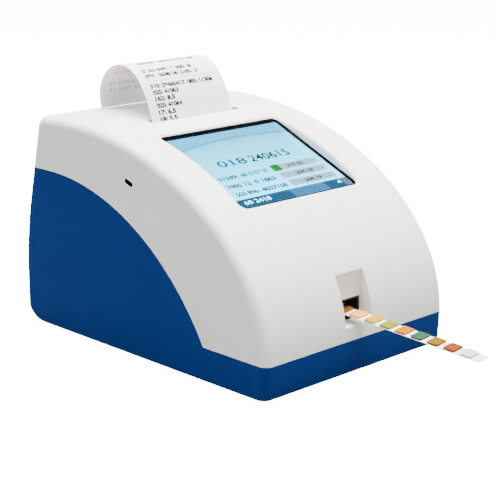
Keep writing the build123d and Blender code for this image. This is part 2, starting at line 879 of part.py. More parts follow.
# The bed: a trough with ledges that the tray slides on, lips that keep it down, and cheeks
# that carry the drive gear.
bed_inner = tray_width / 2 + clearance
bed_outer = bed_inner + bed_wall
ledge_top = tray_floor_height - clearance
lip_low = tray_deck_height + clearance
bed_front, bed_rear = front_y + bed_front_depth, front_y + bed_rear_depth
with BuildPart() as tray_bed:
    with BuildSketch(Plane.XZ.offset(-bed_front)):
        with BuildLine():
            Polyline(
                (-bed_outer, bed_floor_height),
                (bed_outer, bed_floor_height),
                (bed_outer, lip_low + lip_thickness),
                (lip_reach, lip_low + lip_thickness),
                (lip_reach, lip_low),
                (bed_inner, lip_low),
                (bed_inner, ledge_top),
                (ledge_x, ledge_top),
                (ledge_x, bed_floor_height + bed_wall),
                (-ledge_x, bed_floor_height + bed_wall),
                (-ledge_x, ledge_top),
                (-bed_inner, ledge_top),
                (-bed_inner, lip_low),
                (-lip_reach, lip_low),
                (-lip_reach, lip_low + lip_thickness),
                (-bed_outer, lip_low + lip_thickness),
                close=True,
            )
        make_face()
    extrude(amount=-(bed_rear - bed_front))
    # Lugs with screw holes over the posts.
    with BuildSketch(Plane.XY.offset(bed_floor_height)):
        for depth in post_depths:
            with Locations((0, front_y + depth)):
                SlotOverall(2 * post_x + 2 * boss_radius, 2 * boss_radius)
    extrude(amount=bed_wall)
    with BuildSketch(Plane.XY.offset(bed_floor_height)):
        with Locations(*rail_posts):
            Circle(screw_hole_radius)
    extrude(amount=bed_wall, mode=Mode.SUBTRACT)
    # Cheeks below the floor, and a window in the floor for the gears.
    cheek_low = drive_z - cheek_drop
    with BuildSketch(Plane.YZ.offset(-bed_outer)):
        with BuildLine():
            Polyline(
                (drive_y - 8, bed_floor_height + 1),
                (drive_y - 5, cheek_low),
                (pinion_y + 8, cheek_low),
                (pinion_y + 10, bed_floor_height + 1),
                close=True,
            )
        make_face()
    extrude(amount=2 * bed_outer)
    with BuildSketch(Plane.XY.offset(cheek_low - 1)):
        with Locations(((0, (drive_y + pinion_y) / 2))):
            Rectangle(2 * ledge_x, pinion_y - drive_y + 17)
    extrude(amount=ledge_top - cheek_low, mode=Mode.SUBTRACT)
    # Bores for the gear's axle and the motor's shaft.
    with BuildSketch(Plane.YZ.offset(-bed_outer - 1)):
        with Locations((drive_y, drive_z)):
            Circle(axle_radius + running_gap)
    extrude(amount=2 * bed_outer + 2, mode=Mode.SUBTRACT)
    with BuildSketch(Plane.YZ.offset(ledge_x - 1)):
        with Locations((pinion_y, drive_z)):
            Circle(motor_collar_radius + clearance)
    extrude(amount=2 * bed_wall + 4, mode=Mode.SUBTRACT)
write(tray_bed, "tray_bed")

with BuildPart() as bed_screws:
    with BuildSketch(Plane.XY.offset(bed_floor_height + bed_wall)):
        with Locations(*rail_posts):
            Circle(screw_head_radius)
    extrude(amount=screw_head_height)
    with BuildSketch(Plane.XY.offset(bed_floor_height + bed_wall)):
        with Locations(*rail_posts):
            Circle(pilot_radius - running_gap)
    extrude(amount=-(bed_wall + small_screw_grip - 1))
write(bed_screws, "bed_screws")

with BuildPart() as drive_gear:
    with BuildSketch(Plane.YZ.offset(-rack_width / 2)):
        add(gear_teeth(gear_module, drive_teeth, (drive_y, drive_z), 90))
    extrude(amount=rack_width)
    with BuildSketch(Plane.YZ.offset(-ledge_x + running_gap + clearance)):
        with Locations((drive_y, drive_z)):
            Circle(2 * axle_radius)
    extrude(amount=2 * (ledge_x - running_gap - clearance))
    with BuildSketch(Plane.YZ.offset(-bed_outer)):
        with Locations((drive_y, drive_z)):
            Circle(axle_radius)
    extrude(amount=2 * bed_outer)
write(drive_gear, "drive_gear")

with BuildPart() as motor_pinion:
    with BuildSketch(Plane.YZ.offset(-rack_width / 2)):
        add(gear_teeth(gear_module, pinion_teeth, (pinion_y, drive_z), 18))
    extrude(amount=rack_width)
    with BuildSketch(Plane.YZ.offset(-rack_width / 2)):
        with Locations((pinion_y, drive_z)):
            Circle(axle_radius)
    extrude(amount=rack_width / 2 + bed_outer - clearance)
write(motor_pinion, "motor_pinion")

with BuildPart() as tray_motor:
    with BuildSketch(Plane.YZ.offset(bed_outer)):
        with Locations((pinion_y, drive_z)):
            Circle(tray_motor_radius)
    extrude(amount=tray_motor_length)
    chamfer(tray_motor.faces().sort_by(Axis.X)[-1].edges(), 0.6)
    with BuildSketch(Plane.YZ.offset(bed_outer)):
        with Locations((pinion_y, drive_z)):
            Circle(axle_radius + clearance)
    extrude(amount=2, mode=Mode.SUBTRACT)
write(tray_motor, "tray_motor")

# The reading head bridges the tray on two legs that stand on the bed's lips.
head_y = front_y + head_depth
head_foot = lip_low + lip_thickness
with BuildPart() as optical_head:
    with BuildSketch(Plane.XZ.offset(-(head_y - head_length / 2))):
        with Locations((0, head_low_height)):
            Rectangle(head_width, head_height, align=(Align.CENTER, Align.MIN))
        with Locations((-bed_outer + bed_wall / 2, head_foot), (bed_outer - bed_wall / 2, head_foot)):
            Rectangle(bed_wall, head_height, align=(Align.CENTER, Align.MIN))
    extrude(amount=-head_length)
    fillet(optical_head.edges().filter_by(Axis.Y).group_by(Axis.Z)[-1], 1.5)
    with Locations((0, head_y, head_low_height)):
        CounterBoreHole(lens_radius - 0.8, lens_radius + running_gap, lens_thickness + 0.5)
    with BuildSketch(Plane.XY.offset(head_low_height - 1)):
        with Locations((0, head_y)):
            Circle(lens_radius + running_gap)
    extrude(amount=lens_thickness + 1, mode=Mode.SUBTRACT)
write(optical_head, "optical_head")

with BuildPart() as head_lens:
    with BuildSketch(Plane.XY.offset(head_low_height)):
        with Locations((0, head_y)):
            Circle(lens_radius)
    extrude(amount=lens_thickness)
    fillet(head_lens.faces().sort_by(Axis.Z)[0].edges(), 0.6)
write(head_lens, "head_lens")

with BuildPart() as sensor_board:
    with BuildSketch(Plane.XY.offset(head_low_height + head_height)):
        with Locations((0, head_y)):
            RectangleRounded(head_width, head_length, 1.5)
    extrude(amount=board_thickness)
    with BuildSketch(Plane.XY.offset(head_low_height + head_height + board_thickness)):
        with Locations((0, head_y - 5)):
            Rectangle(9, 9)
        with Locations((0, head_y + 8)):
            Rectangle(18, 4)
    extrude(amount=1.6)
write(sensor_board, "sensor_board")


# ---------------------------------------------------------------- printer and its paper

plate_left, plate_right = paper_x - plate_inside, paper_x + plate_inside
roll_centre = (front_y + roll_depth, roll_height)
platen_centre = (front_y + platen_depth, platen_height)
platen_gear_radius = printer_module * platen_teeth / 2
motor_gear_radius = printer_module * motor_teeth / 2
print_motor_centre = (
    platen_centre[0],
    platen_height - platen_gear_radius - motor_gear_radius - mesh_gap,
)
gear_x = plate_right + frame_wall + clearance
motor_plate_x = gear_x + platen_gear_width + clearance

with BuildPart() as printer_frame:
    for plate_x in (plate_left - frame_wall, plate_right):
        with BuildSketch(Plane.YZ.offset(plate_x)):
            with BuildLine():
                Polyline(
                    (front_y + plate_front_depth, frame_foot_height),
                    (front_y + plate_rear_depth, frame_foot_height),
                    (front_y + plate_rear_depth, roll_height + 8),
                    (roll_centre[0] - 12, roll_height + 14),
                    (platen_centre[0] + 8, platen_height - 6),
                    (platen_centre[0] + 8, plate_top_height),
                    (front_y + plate_front_depth, plate_top_height),
                    close=True,
                )
            make_face()
            with Locations(platen_centre):
                Circle(shaft_radius + running_gap, mode=Mode.SUBTRACT)
            with Locations(roll_centre):
                Circle(spindle_radius + running_gap, mode=Mode.SUBTRACT)
            with Locations((roll_centre[0] - 22, frame_foot_height + 24)):
                Circle(9, mode=Mode.SUBTRACT)
        extrude(amount=frame_wall)
    # Cross bars: behind the print head's springs, and along the foot.
    for bar_y, low, high in (
        (front_y + plate_front_depth, print_head_low - 4, print_head_high - 1),
        (front_y + plate_front_depth, frame_foot_height, frame_foot_height + 8),
    ):
        with BuildSketch(Plane.XZ.offset(-bar_y)):
            with Locations((paper_x, (low + high) / 2)):
                Rectangle(2 * plate_inside + frame_wall, high - low)
        extrude(amount=-frame_wall)
    # Feet on the posts of the lower shell.
    with BuildSketch(Plane.XY.offset(frame_foot_height)):
        for depth in frame_post_depths:
            with Locations((paper_x, front_y + depth)):
                SlotOverall(2 * frame_post_offset + 2 * boss_radius, 2 * boss_radius)
        with Locations((paper_x, front_y + (plate_front_depth + plate_rear_depth) / 2)):
            Rectangle(
                2 * plate_inside,
                plate_rear_depth - plate_front_depth + 10,
                mode=Mode.SUBTRACT,
            )
        with Locations(*frame_posts):
            Circle(screw_hole_radius, mode=Mode.SUBTRACT)
    extrude(amount=frame_wall)
    # Arm and plate for the motor, outside the gears.
    arm_width = motor_plate_x + frame_wall - plate_right
    with BuildSketch(Plane.XY.offset(motor_arm_height)):
        with Locations((plate_right, platen_centre[0])):
            Rectangle(arm_width, 2 * print_motor_radius, align=(Align.MIN, Align.CENTER))
    extrude(amount=3)
    with BuildSketch(Plane.YZ.offset(motor_plate_x)):
        with Locations((platen_centre[0], motor_arm_height)):
            Rectangle(
                2 * print_motor_radius,
                motor_plate_height - motor_arm_height,
                align=(Align.CENTER, Align.MIN),
            )
        with Locations(print_motor_centre):
            Circle(motor_collar_radius + clearance, mode=Mode.SUBTRACT)
    extrude(amount=frame_wall)
write(printer_frame, "printer_frame")

with BuildPart() as frame_screws:
    with BuildSketch(Plane.XY.offset(frame_foot_height + frame_wall)):
        with Locations(*frame_posts):
            Circle(screw_head_radius)
    extrude(amount=screw_head_height)
    with BuildSketch(Plane.XY.offset(frame_foot_height + frame_wall)):
        with Locations(*frame_posts):
            Circle(pilot_radius - running_gap)
    extrude(amount=-(frame_wall + small_screw_grip - 1))
write(frame_screws, "frame_screws")

with BuildPart() as print_head:
    with BuildSketch(Plane.XZ.offset(-(front_y + print_head_depth))):
        with Locations((paper_x, (print_head_low + print_head_high) / 2)):
            Rectangle(2 * (plate_inside - clearance), print_head_high - print_head_low)
    extrude(amount=-(print_face_depth - print_bar_thickness - print_head_depth))
    with BuildSketch(Plane.XZ.offset(-(front_y + print_face_depth - print_bar_thickness))):
        with Locations((paper_x, platen_height)):
            Rectangle(paper_width - 4, 4)
    extrude(amount=-print_bar_thickness)
write(print_head, "print_head")

with BuildPart() as head_springs:
    spring_low = plate_front_depth + frame_wall
    with BuildSketch(Plane.XZ.offset(-(front_y + spring_low))):
        with Locations((paper_x, platen_height)):
            with GridLocations(paper_width / 2, 1, 2, 1):
                Circle(spring_radius)
                Circle(spring_radius - 0.6, mode=Mode.SUBTRACT)
    extrude(amount=-(print_head_depth - spring_low))
write(head_springs, "head_springs")

with BuildPart() as platen_roller:
    with BuildSketch(Plane.YZ.offset(paper_x - paper_width / 2 - 0.6)):
        with Locations(platen_centre):
            Circle(platen_radius)
            Circle(shaft_radius, mode=Mode.SUBTRACT)
    extrude(amount=paper_width + 1.2)
write(platen_roller, "platen_roller")

with BuildPart() as platen_shaft:
    with BuildSketch(Plane.YZ.offset(plate_left - frame_wall - 1)):
        with Locations(platen_centre):
            Circle(shaft_radius)
    extrude(amount=gear_x + platen_gear_width - (plate_left - frame_wall - 1))
write(platen_shaft, "platen_shaft")

with BuildPart() as platen_gear:
    with BuildSketch(Plane.YZ.offset(gear_x)):
        add(gear_teeth(printer_module, platen_teeth, platen_centre, 90))
        with Locations(platen_centre):
            Circle(shaft_radius, mode=Mode.SUBTRACT)
    extrude(amount=platen_gear_width)
write(platen_gear, "platen_gear")

with BuildPart() as printer_pinion:
    with BuildSketch(Plane.YZ.offset(gear_x)):
        add(gear_teeth(printer_module, motor_teeth, print_motor_centre, 90 + 180 / motor_teeth))
    extrude(amount=platen_gear_width)
    with BuildSketch(Plane.YZ.offset(gear_x)):
        with Locations(print_motor_centre):
            Circle(1.0)
    extrude(amount=motor_plate_x + frame_wall - gear_x)
write(printer_pinion, "printer_pinion")

with BuildPart() as printer_motor:
    with BuildSketch(Plane.YZ.offset(motor_plate_x + frame_wall)):
        with Locations(print_motor_centre):
            Circle(print_motor_radius)
    extrude(amount=print_motor_length)
    chamfer(printer_motor.faces().sort_by(Axis.X)[-1].edges(), 0.6)
    with BuildSketch(Plane.YZ.offset(motor_plate_x + frame_wall)):
        with Locations(print_motor_centre):
            Circle(1.0 + clearance)
    extrude(amount=2, mode=Mode.SUBTRACT)
write(printer_motor, "printer_motor")

with BuildPart() as roll_cradle:
    cradle_radius = roll_radius + cradle_gap
    with BuildSketch(Plane.YZ.offset(plate_left + clearance / 2)):
        with BuildLine():
            inner_arc = CenterArc(roll_centre, cradle_radius, 225, 105)
            outer_arc = CenterArc(roll_centre, cradle_radius + cradle_thickness, 225, 105)
            Line(inner_arc @ 0, outer_arc @ 0)
            Line(inner_arc @ 1, outer_arc @ 1)
        make_face()
    extrude(amount=2 * plate_inside - clearance)
write(roll_cradle, "roll_cradle")

with BuildPart() as roll_spindle:
    with BuildSketch(Plane.YZ.offset(plate_left - frame_wall)):
        with Locations(roll_centre):
            Circle(spindle_radius)
    extrude(amount=2 * (plate_inside + frame_wall))
    for hub_x in (plate_left + clearance, plate_right - clearance - 5):
        with BuildSketch(Plane.YZ.offset(hub_x)):
            with Locations(roll_centre):
                Circle(hub_radius)
        extrude(amount=5)
write(roll_spindle, "roll_spindle")

with BuildPart() as roll_core:
    with BuildSketch(Plane.YZ.offset(paper_x - paper_width / 2)):
        with Locations(roll_centre):
            Circle(roll_core_radius)
            Circle(core_radius, mode=Mode.SUBTRACT)
    extrude(amount=paper_width)
write(roll_core, "roll_core")

with BuildPart() as paper_roll:
    with BuildSketch(Plane.YZ.offset(paper_x - paper_width / 2)):
        with Locations(roll_centre):
            Circle(roll_radius)
            Circle(roll_core_radius, mode=Mode.SUBTRACT)
    extrude(amount=paper_width)
write(paper_roll, "paper_roll")

# The web leaves the roll at its front, rises past the print head, leaves the slot along its
# front lip, leans back and curls over into a loop whose end rests on the crown.
web_low = Vector(front_y + web_low_depth, web_low_height)
web_slot = Vector(front_y + slot_front_depth + web_slot_gap, web_slot_height)
to_roll = Vector(*roll_centre) - web_low
roll_track = roll_radius + clearance + paper_thickness / 2
web_fall = atan2(to_roll.Y, to_roll.X) - asin(roll_track / to_roll.length)
web_run = sqrt(to_roll.length**2 - roll_track**2)
web_start = web_low + Vector(cos(web_fall), sin(web_fall)) * web_run
lean_way = Vector(sin(radians(paper_lean)), cos(radians(paper_lean)))
with BuildPart() as receipt_paper:
    with BuildSketch(Plane.YZ.offset(paper_x - paper_width / 2)):
        with BuildLine():
            rise = FilletPolyline(
                web_start,
                web_low,
                web_slot,
                web_slot + lean_way * paper_rise,
                radius=[web_bend_radius, lip_bend_radius],
            )
            back = JernArc(rise @ 1, rise % 1, curl_radius, -curl_turn)
            JernArc(back @ 1, back % 1, loop_radius, -loop_turn)
            offset(amount=paper_thickness / 2)
        make_face()
    extrude(amount=paper_width)
write(receipt_paper, "receipt_paper")


# ---------------------------------------------------------------- rear door

with BuildPart() as paper_door:
    add(outer_form.part)
    add(inner_form, mode=Mode.SUBTRACT)
    with BuildSketch(Plane.XZ.offset(-(rear_y - 14))):
        with Locations((0, hinge_height)):
            Rectangle(
                door_width,
                door_high_height - door_gap - hinge_height,
                align=(Align.CENTER, Align.MIN),
            )
    extrude(amount=-20, mode=Mode.INTERSECT)
    with Locations(Location((0, hinge_y, hinge_height), (0, 90, 0))):
        Cylinder(hinge_radius, door_width)
        Cylinder(hinge_pin_radius + running_gap, door_width, mode=Mode.SUBTRACT)
    # Finger grip in the outer face, at the upper edge.
    with BuildSketch(catch_plane.offset(-grip_depth)):
        with Locations((0, (door_high_height - catch_height) - grip_height / 2)):
            RectangleRounded(grip_width, grip_height, 1)
    extrude(amount=2 * grip_depth, mode=Mode.SUBTRACT)
write(paper_door, "paper_door")

with BuildPart() as hinge_pins:
    for side in (-1, 1):
        pin_x = side * (door_width / 2 - hinge_pin_grip + hinge_pin_length / 2)
        with Locations(Location((pin_x, hinge_y, hinge_height), (0, 90, 0))):
            Cylinder(hinge_pin_radius, hinge_pin_length)
write(hinge_pins, "hinge_pins")

with BuildPart() as door_magnets:
    with BuildSketch(catch_plane.offset(-wall)):
        with GridLocations(2 * magnet_x, 1, 2, 1):
            Circle(magnet_radius)
    extrude(amount=-magnet_thickness)
write(door_magnets, "door_magnets")

with BuildPart() as catch_plate:
    with BuildSketch(catch_plane.offset(catch_face)):
        with Locations((0, catch_rib_high)):
            Rectangle(
                catch_width, catch_rib_high + magnet_radius, align=(Align.CENTER, Align.MAX)
            )
    extrude(amount=-catch_thickness)
write(catch_plate, "catch_plate")


# ---------------------------------------------------------------- board and rear connectors

face_y = front_y + connector_face_depth
with BuildPart() as main_board:
    with BuildSketch(Plane.XY.offset(board_height)):
        with Locations((0, front_y + (board_front_depth + board_rear_depth) / 2)):
            Rectangle(board_width, board_rear_depth - board_front_depth)
        with Locations(*board_posts):
            Circle(screw_hole_radius, mode=Mode.SUBTRACT)
        with Locations(*frame_posts):
            Circle(boss_radius + clearance, mode=Mode.SUBTRACT)
        with Locations((0, front_y + rear_boss_depth)):
            with GridLocations(2 * boss_x, 1, 2, 1):
                Circle(tall_boss_radius + clearance, mode=Mode.SUBTRACT)
    extrude(amount=board_thickness)
write(main_board, "main_board")

with BuildPart() as board_screws:
    with BuildSketch(Plane.XY.offset(board_top)):
        with Locations(*board_posts):
            Circle(screw_head_radius)
    extrude(amount=screw_head_height)
    with BuildSketch(Plane.XY.offset(board_top)):
        with Locations(*board_posts):
            Circle(pilot_radius - running_gap)
    extrude(amount=-(board_thickness + small_screw_grip - 1))
write(board_screws, "board_screws")

with BuildPart() as board_chips:
    for x, depth, width, length, height in (
        (-22, 132, 14, 14, 1.6),
        (24, 136, 10, 12, 1.4),
        (-24, 152, 8, 5, 1.5),
        (20, 156, 6, 9, 1.5),
        (38, 128, 12, 8, 4.5),
    ):
        with BuildSketch(Plane.XY.offset(board_top)):
            with Locations((x, front_y + depth)):
                Rectangle(width, length)
        extrude(amount=height)
write(board_chips, "board_chips")

with BuildPart() as coin_cell:
    with BuildSketch(Plane.XY.offset(board_top)):
        with Locations((-40, front_y + 134)):
            Circle(cell_radius)
    extrude(amount=cell_thickness)
    chamfer(coin_cell.faces().sort_by(Axis.Z)[-1].edges(), 0.5)
write(coin_cell, "coin_cell")

with BuildPart() as serial_port:
    port_z = board_top + serial_height / 2
    with BuildSketch(Plane.XZ.offset(-(face_y - 6))):
        with Locations((serial_x, port_z)):
            RectangleRounded(serial_width, serial_height, 0.8)
    extrude(amount=1)
    with BuildSketch(Plane.XZ.offset(-(face_y - 7))):
        with Locations((serial_x, port_z)):
            Rectangle(serial_width - 12, serial_height - 1)
    extrude(amount=9)
    with BuildSketch(Plane.XZ.offset(-(face_y - 6))):
        with Locations((serial_x, port_z)):
            Polygon((-6.9, -4.1), (6.9, -4.1), (8.3, 4.1), (-8.3, 4.1), align=None)
            Polygon(
                (-6.4, -3.6), (6.4, -3.6), (7.7, 3.6), (-7.7, 3.6), align=None, mode=Mode.SUBTRACT
            )
    extrude(amount=-5.5)
    for row, count, start in ((1.4, 5, -5.5), (-1.4, 4, -4.1)):
        for pin in range(count):
            with BuildSketch(Plane.XZ.offset(-(face_y - 6))):
                with Locations((serial_x + start + pin * 2.76, port_z + row)):
                    Circle(0.5)
            extrude(amount=-4.6)
    # Bores behind the jackscrews.
    with BuildSketch(Plane.XZ.offset(-(face_y - 8))):
        with Locations((serial_x, port_z)):
            with GridLocations(jackscrew_spacing, 1, 2, 1):
                Circle(jackscrew_bore)
    extrude(amount=-4, mode=Mode.SUBTRACT)
write(serial_port, "serial_port")

with BuildPart() as jackscrews:
    with BuildSketch(Plane.XZ.offset(-(face_y - 6))):
        with Locations((serial_x, port_z)):
            with GridLocations(jackscrew_spacing, 1, 2, 1):
                RegularPolygon(2.75, 6)
    extrude(amount=-5)
    with BuildSketch(Plane.XZ.offset(-(face_y - 6))):
        with Locations((serial_x, port_z)):
            with GridLocations(jackscrew_spacing, 1, 2, 1):
                Circle(jackscrew_bore - running_gap)
    extrude(amount=3)
    with BuildSketch(Plane.XZ.offset(-(face_y - 1))):
        with Locations((serial_x, port_z)):
            with GridLocations(jackscrew_spacing, 1, 2, 1):
                Circle(jackscrew_bore)
    extrude(amount=4, mode=Mode.SUBTRACT)
write(jackscrews, "jackscrews")

with BuildPart() as usb_port:
    usb_z = board_top + usb_height / 2
    with BuildSketch(Plane.XZ.offset(-face_y)):
        with Locations((usb_x, usb_z)):
            Rectangle(usb_width, usb_height)
    extrude(amount=16)
    with BuildSketch(Plane.XZ.offset(-face_y)):
        with Locations((usb_x, usb_z)):
            Polygon(
                (-4.2, -3.9), (4.2, -3.9), (4.2, 2.2), (2.7, 3.9), (-2.7, 3.9), (-4.2, 2.2),
                align=None,
            )
    extrude(amount=9, mode=Mode.SUBTRACT)
    with BuildSketch(Plane.XZ.offset(-(face_y - 9.5))):
        with Locations((usb_x, usb_z)):
            Rectangle(5.6, 3.2)
    extrude(amount=-8.5)
write(usb_port, "usb_port")

with BuildPart() as dc_jack:
    jack_z = board_top + jack_height / 2
    with BuildSketch(Plane.XZ.offset(-face_y)):
        with Locations((jack_x, jack_z)):
            Rectangle(jack_width, jack_height)
    extrude(amount=14)
    with BuildSketch(Plane.XZ.offset(-face_y)):
        with Locations((jack_x, jack_z + 0.5)):
            Circle(3.15)
    extrude(amount=9.5, mode=Mode.SUBTRACT)
    with BuildSketch(Plane.XZ.offset(-(face_y - 10))):
        with Locations((jack_x, jack_z + 0.5)):
            Circle(1.05)
    extrude(amount=-9)
write(dc_jack, "dc_jack")

rocker_inside = rocker_width - 2 * switch_wall
pivot = (front_y + rocker_pivot_depth, rocker_height)
with BuildPart() as switch_body:
    with BuildSketch(Plane.XZ.offset(-face_y)):
        with Locations((rocker_x, rocker_height)):
            Rectangle(rocker_width, rocker_length)
    extrude(amount=12)
    with BuildSketch(Plane.XZ.offset(-face_y)):
        with Locations((rocker_x, rocker_height)):
            Rectangle(rocker_inside, rocker_length - 2 * switch_wall)
    extrude(amount=10, mode=Mode.SUBTRACT)
    with Locations(Location((rocker_x, pivot[0], pivot[1]), (0, 90, 0))):
        Cylinder(rocker_pin_radius + running_gap, rocker_width + 2, mode=Mode.SUBTRACT)
write(switch_body, "switch_body")

with BuildPart() as power_rocker:
    with BuildSketch(Plane.YZ.offset(rocker_x - rocker_inside / 2 + 0.2)):
        with Locations(Location((*pivot, 0), -rocker_swing / 2)):
            Polygon(
                (-3.0, 0), (-1.5, -5.2), (3.6, -5.5), (2.9, 0), (3.6, 5.5), (-1.5, 5.2),
                align=None,
            )
    extrude(amount=rocker_inside - 0.4)
    with Locations(Location((rocker_x, pivot[0], pivot[1]), (0, 90, 0))):
        Cylinder(rocker_pin_radius, rocker_width - 0.4)
write(power_rocker, "power_rocker")
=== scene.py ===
# %% [markdown]
# # A benchtop strip analyzer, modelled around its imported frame
# The instrument is a low housing in two moulded halves: a warm white cover with a
# sloped touch screen over a deep blue base. A paper strip with ten coloured pads
# slides in at the front, and a thermal printer curls a receipt out of the top.
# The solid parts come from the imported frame. This lesson dresses them: it sets the
# camera and lights, gives each node its real material, and adds what is too fine for
# the solids, such as the picture on the display and the print on the receipt.

# %% Load the frame
import bpy
from math import cos, radians, sin
from mathutils import Matrix, Vector


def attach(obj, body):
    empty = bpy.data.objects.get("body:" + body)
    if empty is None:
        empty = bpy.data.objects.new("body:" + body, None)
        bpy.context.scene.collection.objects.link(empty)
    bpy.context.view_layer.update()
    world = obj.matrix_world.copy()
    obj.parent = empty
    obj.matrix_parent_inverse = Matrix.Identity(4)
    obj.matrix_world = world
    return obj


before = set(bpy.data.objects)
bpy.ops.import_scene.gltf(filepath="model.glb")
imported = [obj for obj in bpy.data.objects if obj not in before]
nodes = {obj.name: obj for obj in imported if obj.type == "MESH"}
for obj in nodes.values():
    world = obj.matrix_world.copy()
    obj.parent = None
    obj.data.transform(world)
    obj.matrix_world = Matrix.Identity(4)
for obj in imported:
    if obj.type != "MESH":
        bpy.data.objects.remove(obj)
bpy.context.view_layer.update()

MM = 0.001

# %% [markdown]
# ## Camera
# The photograph was taken from the front left, a little above the crown, with a long
# lens. A long lens keeps the housing's far edges almost parallel to its near ones, so
# the camera stands well back instead of moving in with a short lens.

# %% The camera of the photograph
CAMERA_PLACE = (-0.5239, -0.51755, 0.2540)
CAMERA_TILT, CAMERA_TURN = radians(74.73), radians(-44.18)
SENSOR_WIDTH, LENS = 36, 105.84
bpy.ops.object.camera_add(location=CAMERA_PLACE, rotation=(CAMERA_TILT, 0, CAMERA_TURN))
camera = bpy.context.object
camera.name = "camera"
camera.data.sensor_width = SENSOR_WIDTH
camera.data.lens = LENS
camera.data.clip_start = 0.01
bpy.context.scene.camera = camera
print("lens", camera.data.lens)

# %% [markdown]
# ## Material helpers
# Colours are typed as the sRGB hex values that a colour picker shows, and one function
# turns them linear for the shader. One more function adds a node, fills its settings and
# wires its inputs. The rest are named for what they do to a surface, so each material
# below reads like a recipe: what it is made of, then how it is grained, tinted and rubbed.

# %% Colour and node helpers
BRIGHTEST = 0.88


def colour(hex_value):
    """An sRGB hex string as linear RGBA."""
    channels = [int(hex_value[k : k + 2], 16) / 255 for k in (1, 3, 5)]
    linear = [c / 12.92 if c <= 0.04045 else ((c + 0.055) / 1.055) ** 2.4 for c in channels]
    return (*linear, 1.0)


def shown_as(hex_value, light):
    """The linear colour that shows as hex_value under a light of this strength.

    The view transform rolls bright colours off roughly as x / (x + 1), so what should
    show as c has to send c / (1 - c) to the camera.
    """
    shown = [min(c, BRIGHTEST) for c in colour(hex_value)[:3]]
    return (*(c / (1 - c) / light for c in shown), 1.0)


def add_node(material, kind, settings=None, **links):
    """Adds a node; settings are its properties, links its sockets' values or sources."""
    node = material.node_tree.nodes.new(kind)
    for key, value in (settings or {}).items():
        setattr(node, key, value)
    for socket, value in links.items():
        target = node.inputs[int(socket[1:])] if socket[0] == "n" and socket[1:].isdigit() else None
        target = target or node.inputs[socket.replace("_", " ")]
        if isinstance(value, bpy.types.NodeSocket):
            material.node_tree.links.new(value, target)
        else:
            target.default_value = value
    return node


def new_material(name, base, rough, metallic=0.0, **sockets):
    """A Principled material with uniform values on its own sockets."""
    material = bpy.data.materials.new(name)
    material.use_nodes = True
    shader = material.node_tree.nodes["Principled BSDF"]
    shader.inputs["Base Color"].default_value = colour(base)
    shader.inputs["Roughness"].default_value = rough
    shader.inputs["Metallic"].default_value = metallic
    for socket, value in sockets.items():
        shader.inputs[socket.replace("_", " ")].default_value = value
    return material


def surface(material):
    """The material's own Principled shader."""
    return material.node_tree.nodes["Principled BSDF"]


def wire(material, source, socket):
    """Wires a node's output into a socket of the surface."""
    material.node_tree.links.new(source, surface(material).inputs[socket])


# %% What a finish does to a surface
def patches(material, size_mm, detail=2.0, roughness=0.5):
    """Soft random patches about size_mm across, as values from 0 to 1."""
    place = add_node(material, "ShaderNodeTexCoord").outputs["Object"]
    settings = {"Scale": 1000 / size_mm, "Detail": detail, "Roughness": roughness}
    return add_node(material, "ShaderNodeTexNoise", Vector=place, **settings).outputs["Fac"]


def grained(material, pattern, depth_mm, strength=1.0):
    """Raises the surface by a pattern, depth_mm from its lowest to its highest."""
    relief = add_node(
        material, "ShaderNodeBump", Height=pattern, Distance=depth_mm * MM, Strength=strength
    )
    wire(material, relief.outputs["Normal"], "Normal")


def rubbed(material, pattern, smoothest, roughest):
    """Lets the roughness follow a pattern between two values."""
    worn = add_node(
        material, "ShaderNodeMapRange", Value=pattern, To_Min=smoothest, To_Max=roughest
    )
    wire(material, worn.outputs["Result"], "Roughness")


def tinted(material, pattern, stops, mode="LINEAR", light=None, socket="Base Color"):
    """Colours the surface by a pattern, from (position, hex) stops.

    If light is given, the stops show as typed under a light of that strength.
    """
    dyed = add_node(material, "ShaderNodeValToRGB", Fac=pattern)
    band = dyed.color_ramp
    band.interpolation = mode
    while len(band.elements) < len(stops):
        band.elements.new(0.5)
    for element, (position, hex_value) in zip(band.elements, stops):
        element.position = position
        element.color = shown_as(hex_value, light) if light else colour(hex_value)
    wire(material, dyed.outputs["Color"], socket)


print("white reads back as", colour("#ffffff"))

# %% [markdown]
# ## Floor and light
# The object stands on white paper in a bright studio. Floor and world are far brighter
# to the camera than to the object, so the backdrop is pure white while the walls of the
# housing keep their shade.

# %% Deselect helper, floor
FLOOR_SIZE = 9


def clear_selection():
    """Deselects all: an operator acts on whatever is selected, and nodes load selected."""
    for thing in bpy.context.selected_objects:
        thing.select_set(False)


clear_selection()
bpy.ops.mesh.primitive_plane_add(size=FLOOR_SIZE, location=(0, 0, 0))
floor = bpy.context.object
floor.name = "studio_floor"
print("floor:", floor.name, tuple(floor.dimensions))

# %% [markdown]
# Paper that is lit until it is pure white would light the walls from below as well, so
# the floor has two shaders. The camera sees a sheet that glows, as an overexposed one
# does, and every other ray meets mid grey, which bounces back little. One function mixes
# such a pair, because the world needs the same: a bright backdrop and a weak fill.

# %% White paper floor
PAPER_GLOW = 14.0


def by_ray(holder, other_rays, camera_rays):
    """A shader mix that shows the camera one shader and every other ray another."""
    ray = add_node(holder, "ShaderNodeLightPath")
    seen_by_camera = ray.outputs["Is Camera Ray"]
    return add_node(
        holder, "ShaderNodeMixShader", Fac=seen_by_camera, n1=other_rays, n2=camera_rays
    ).outputs["Shader"]


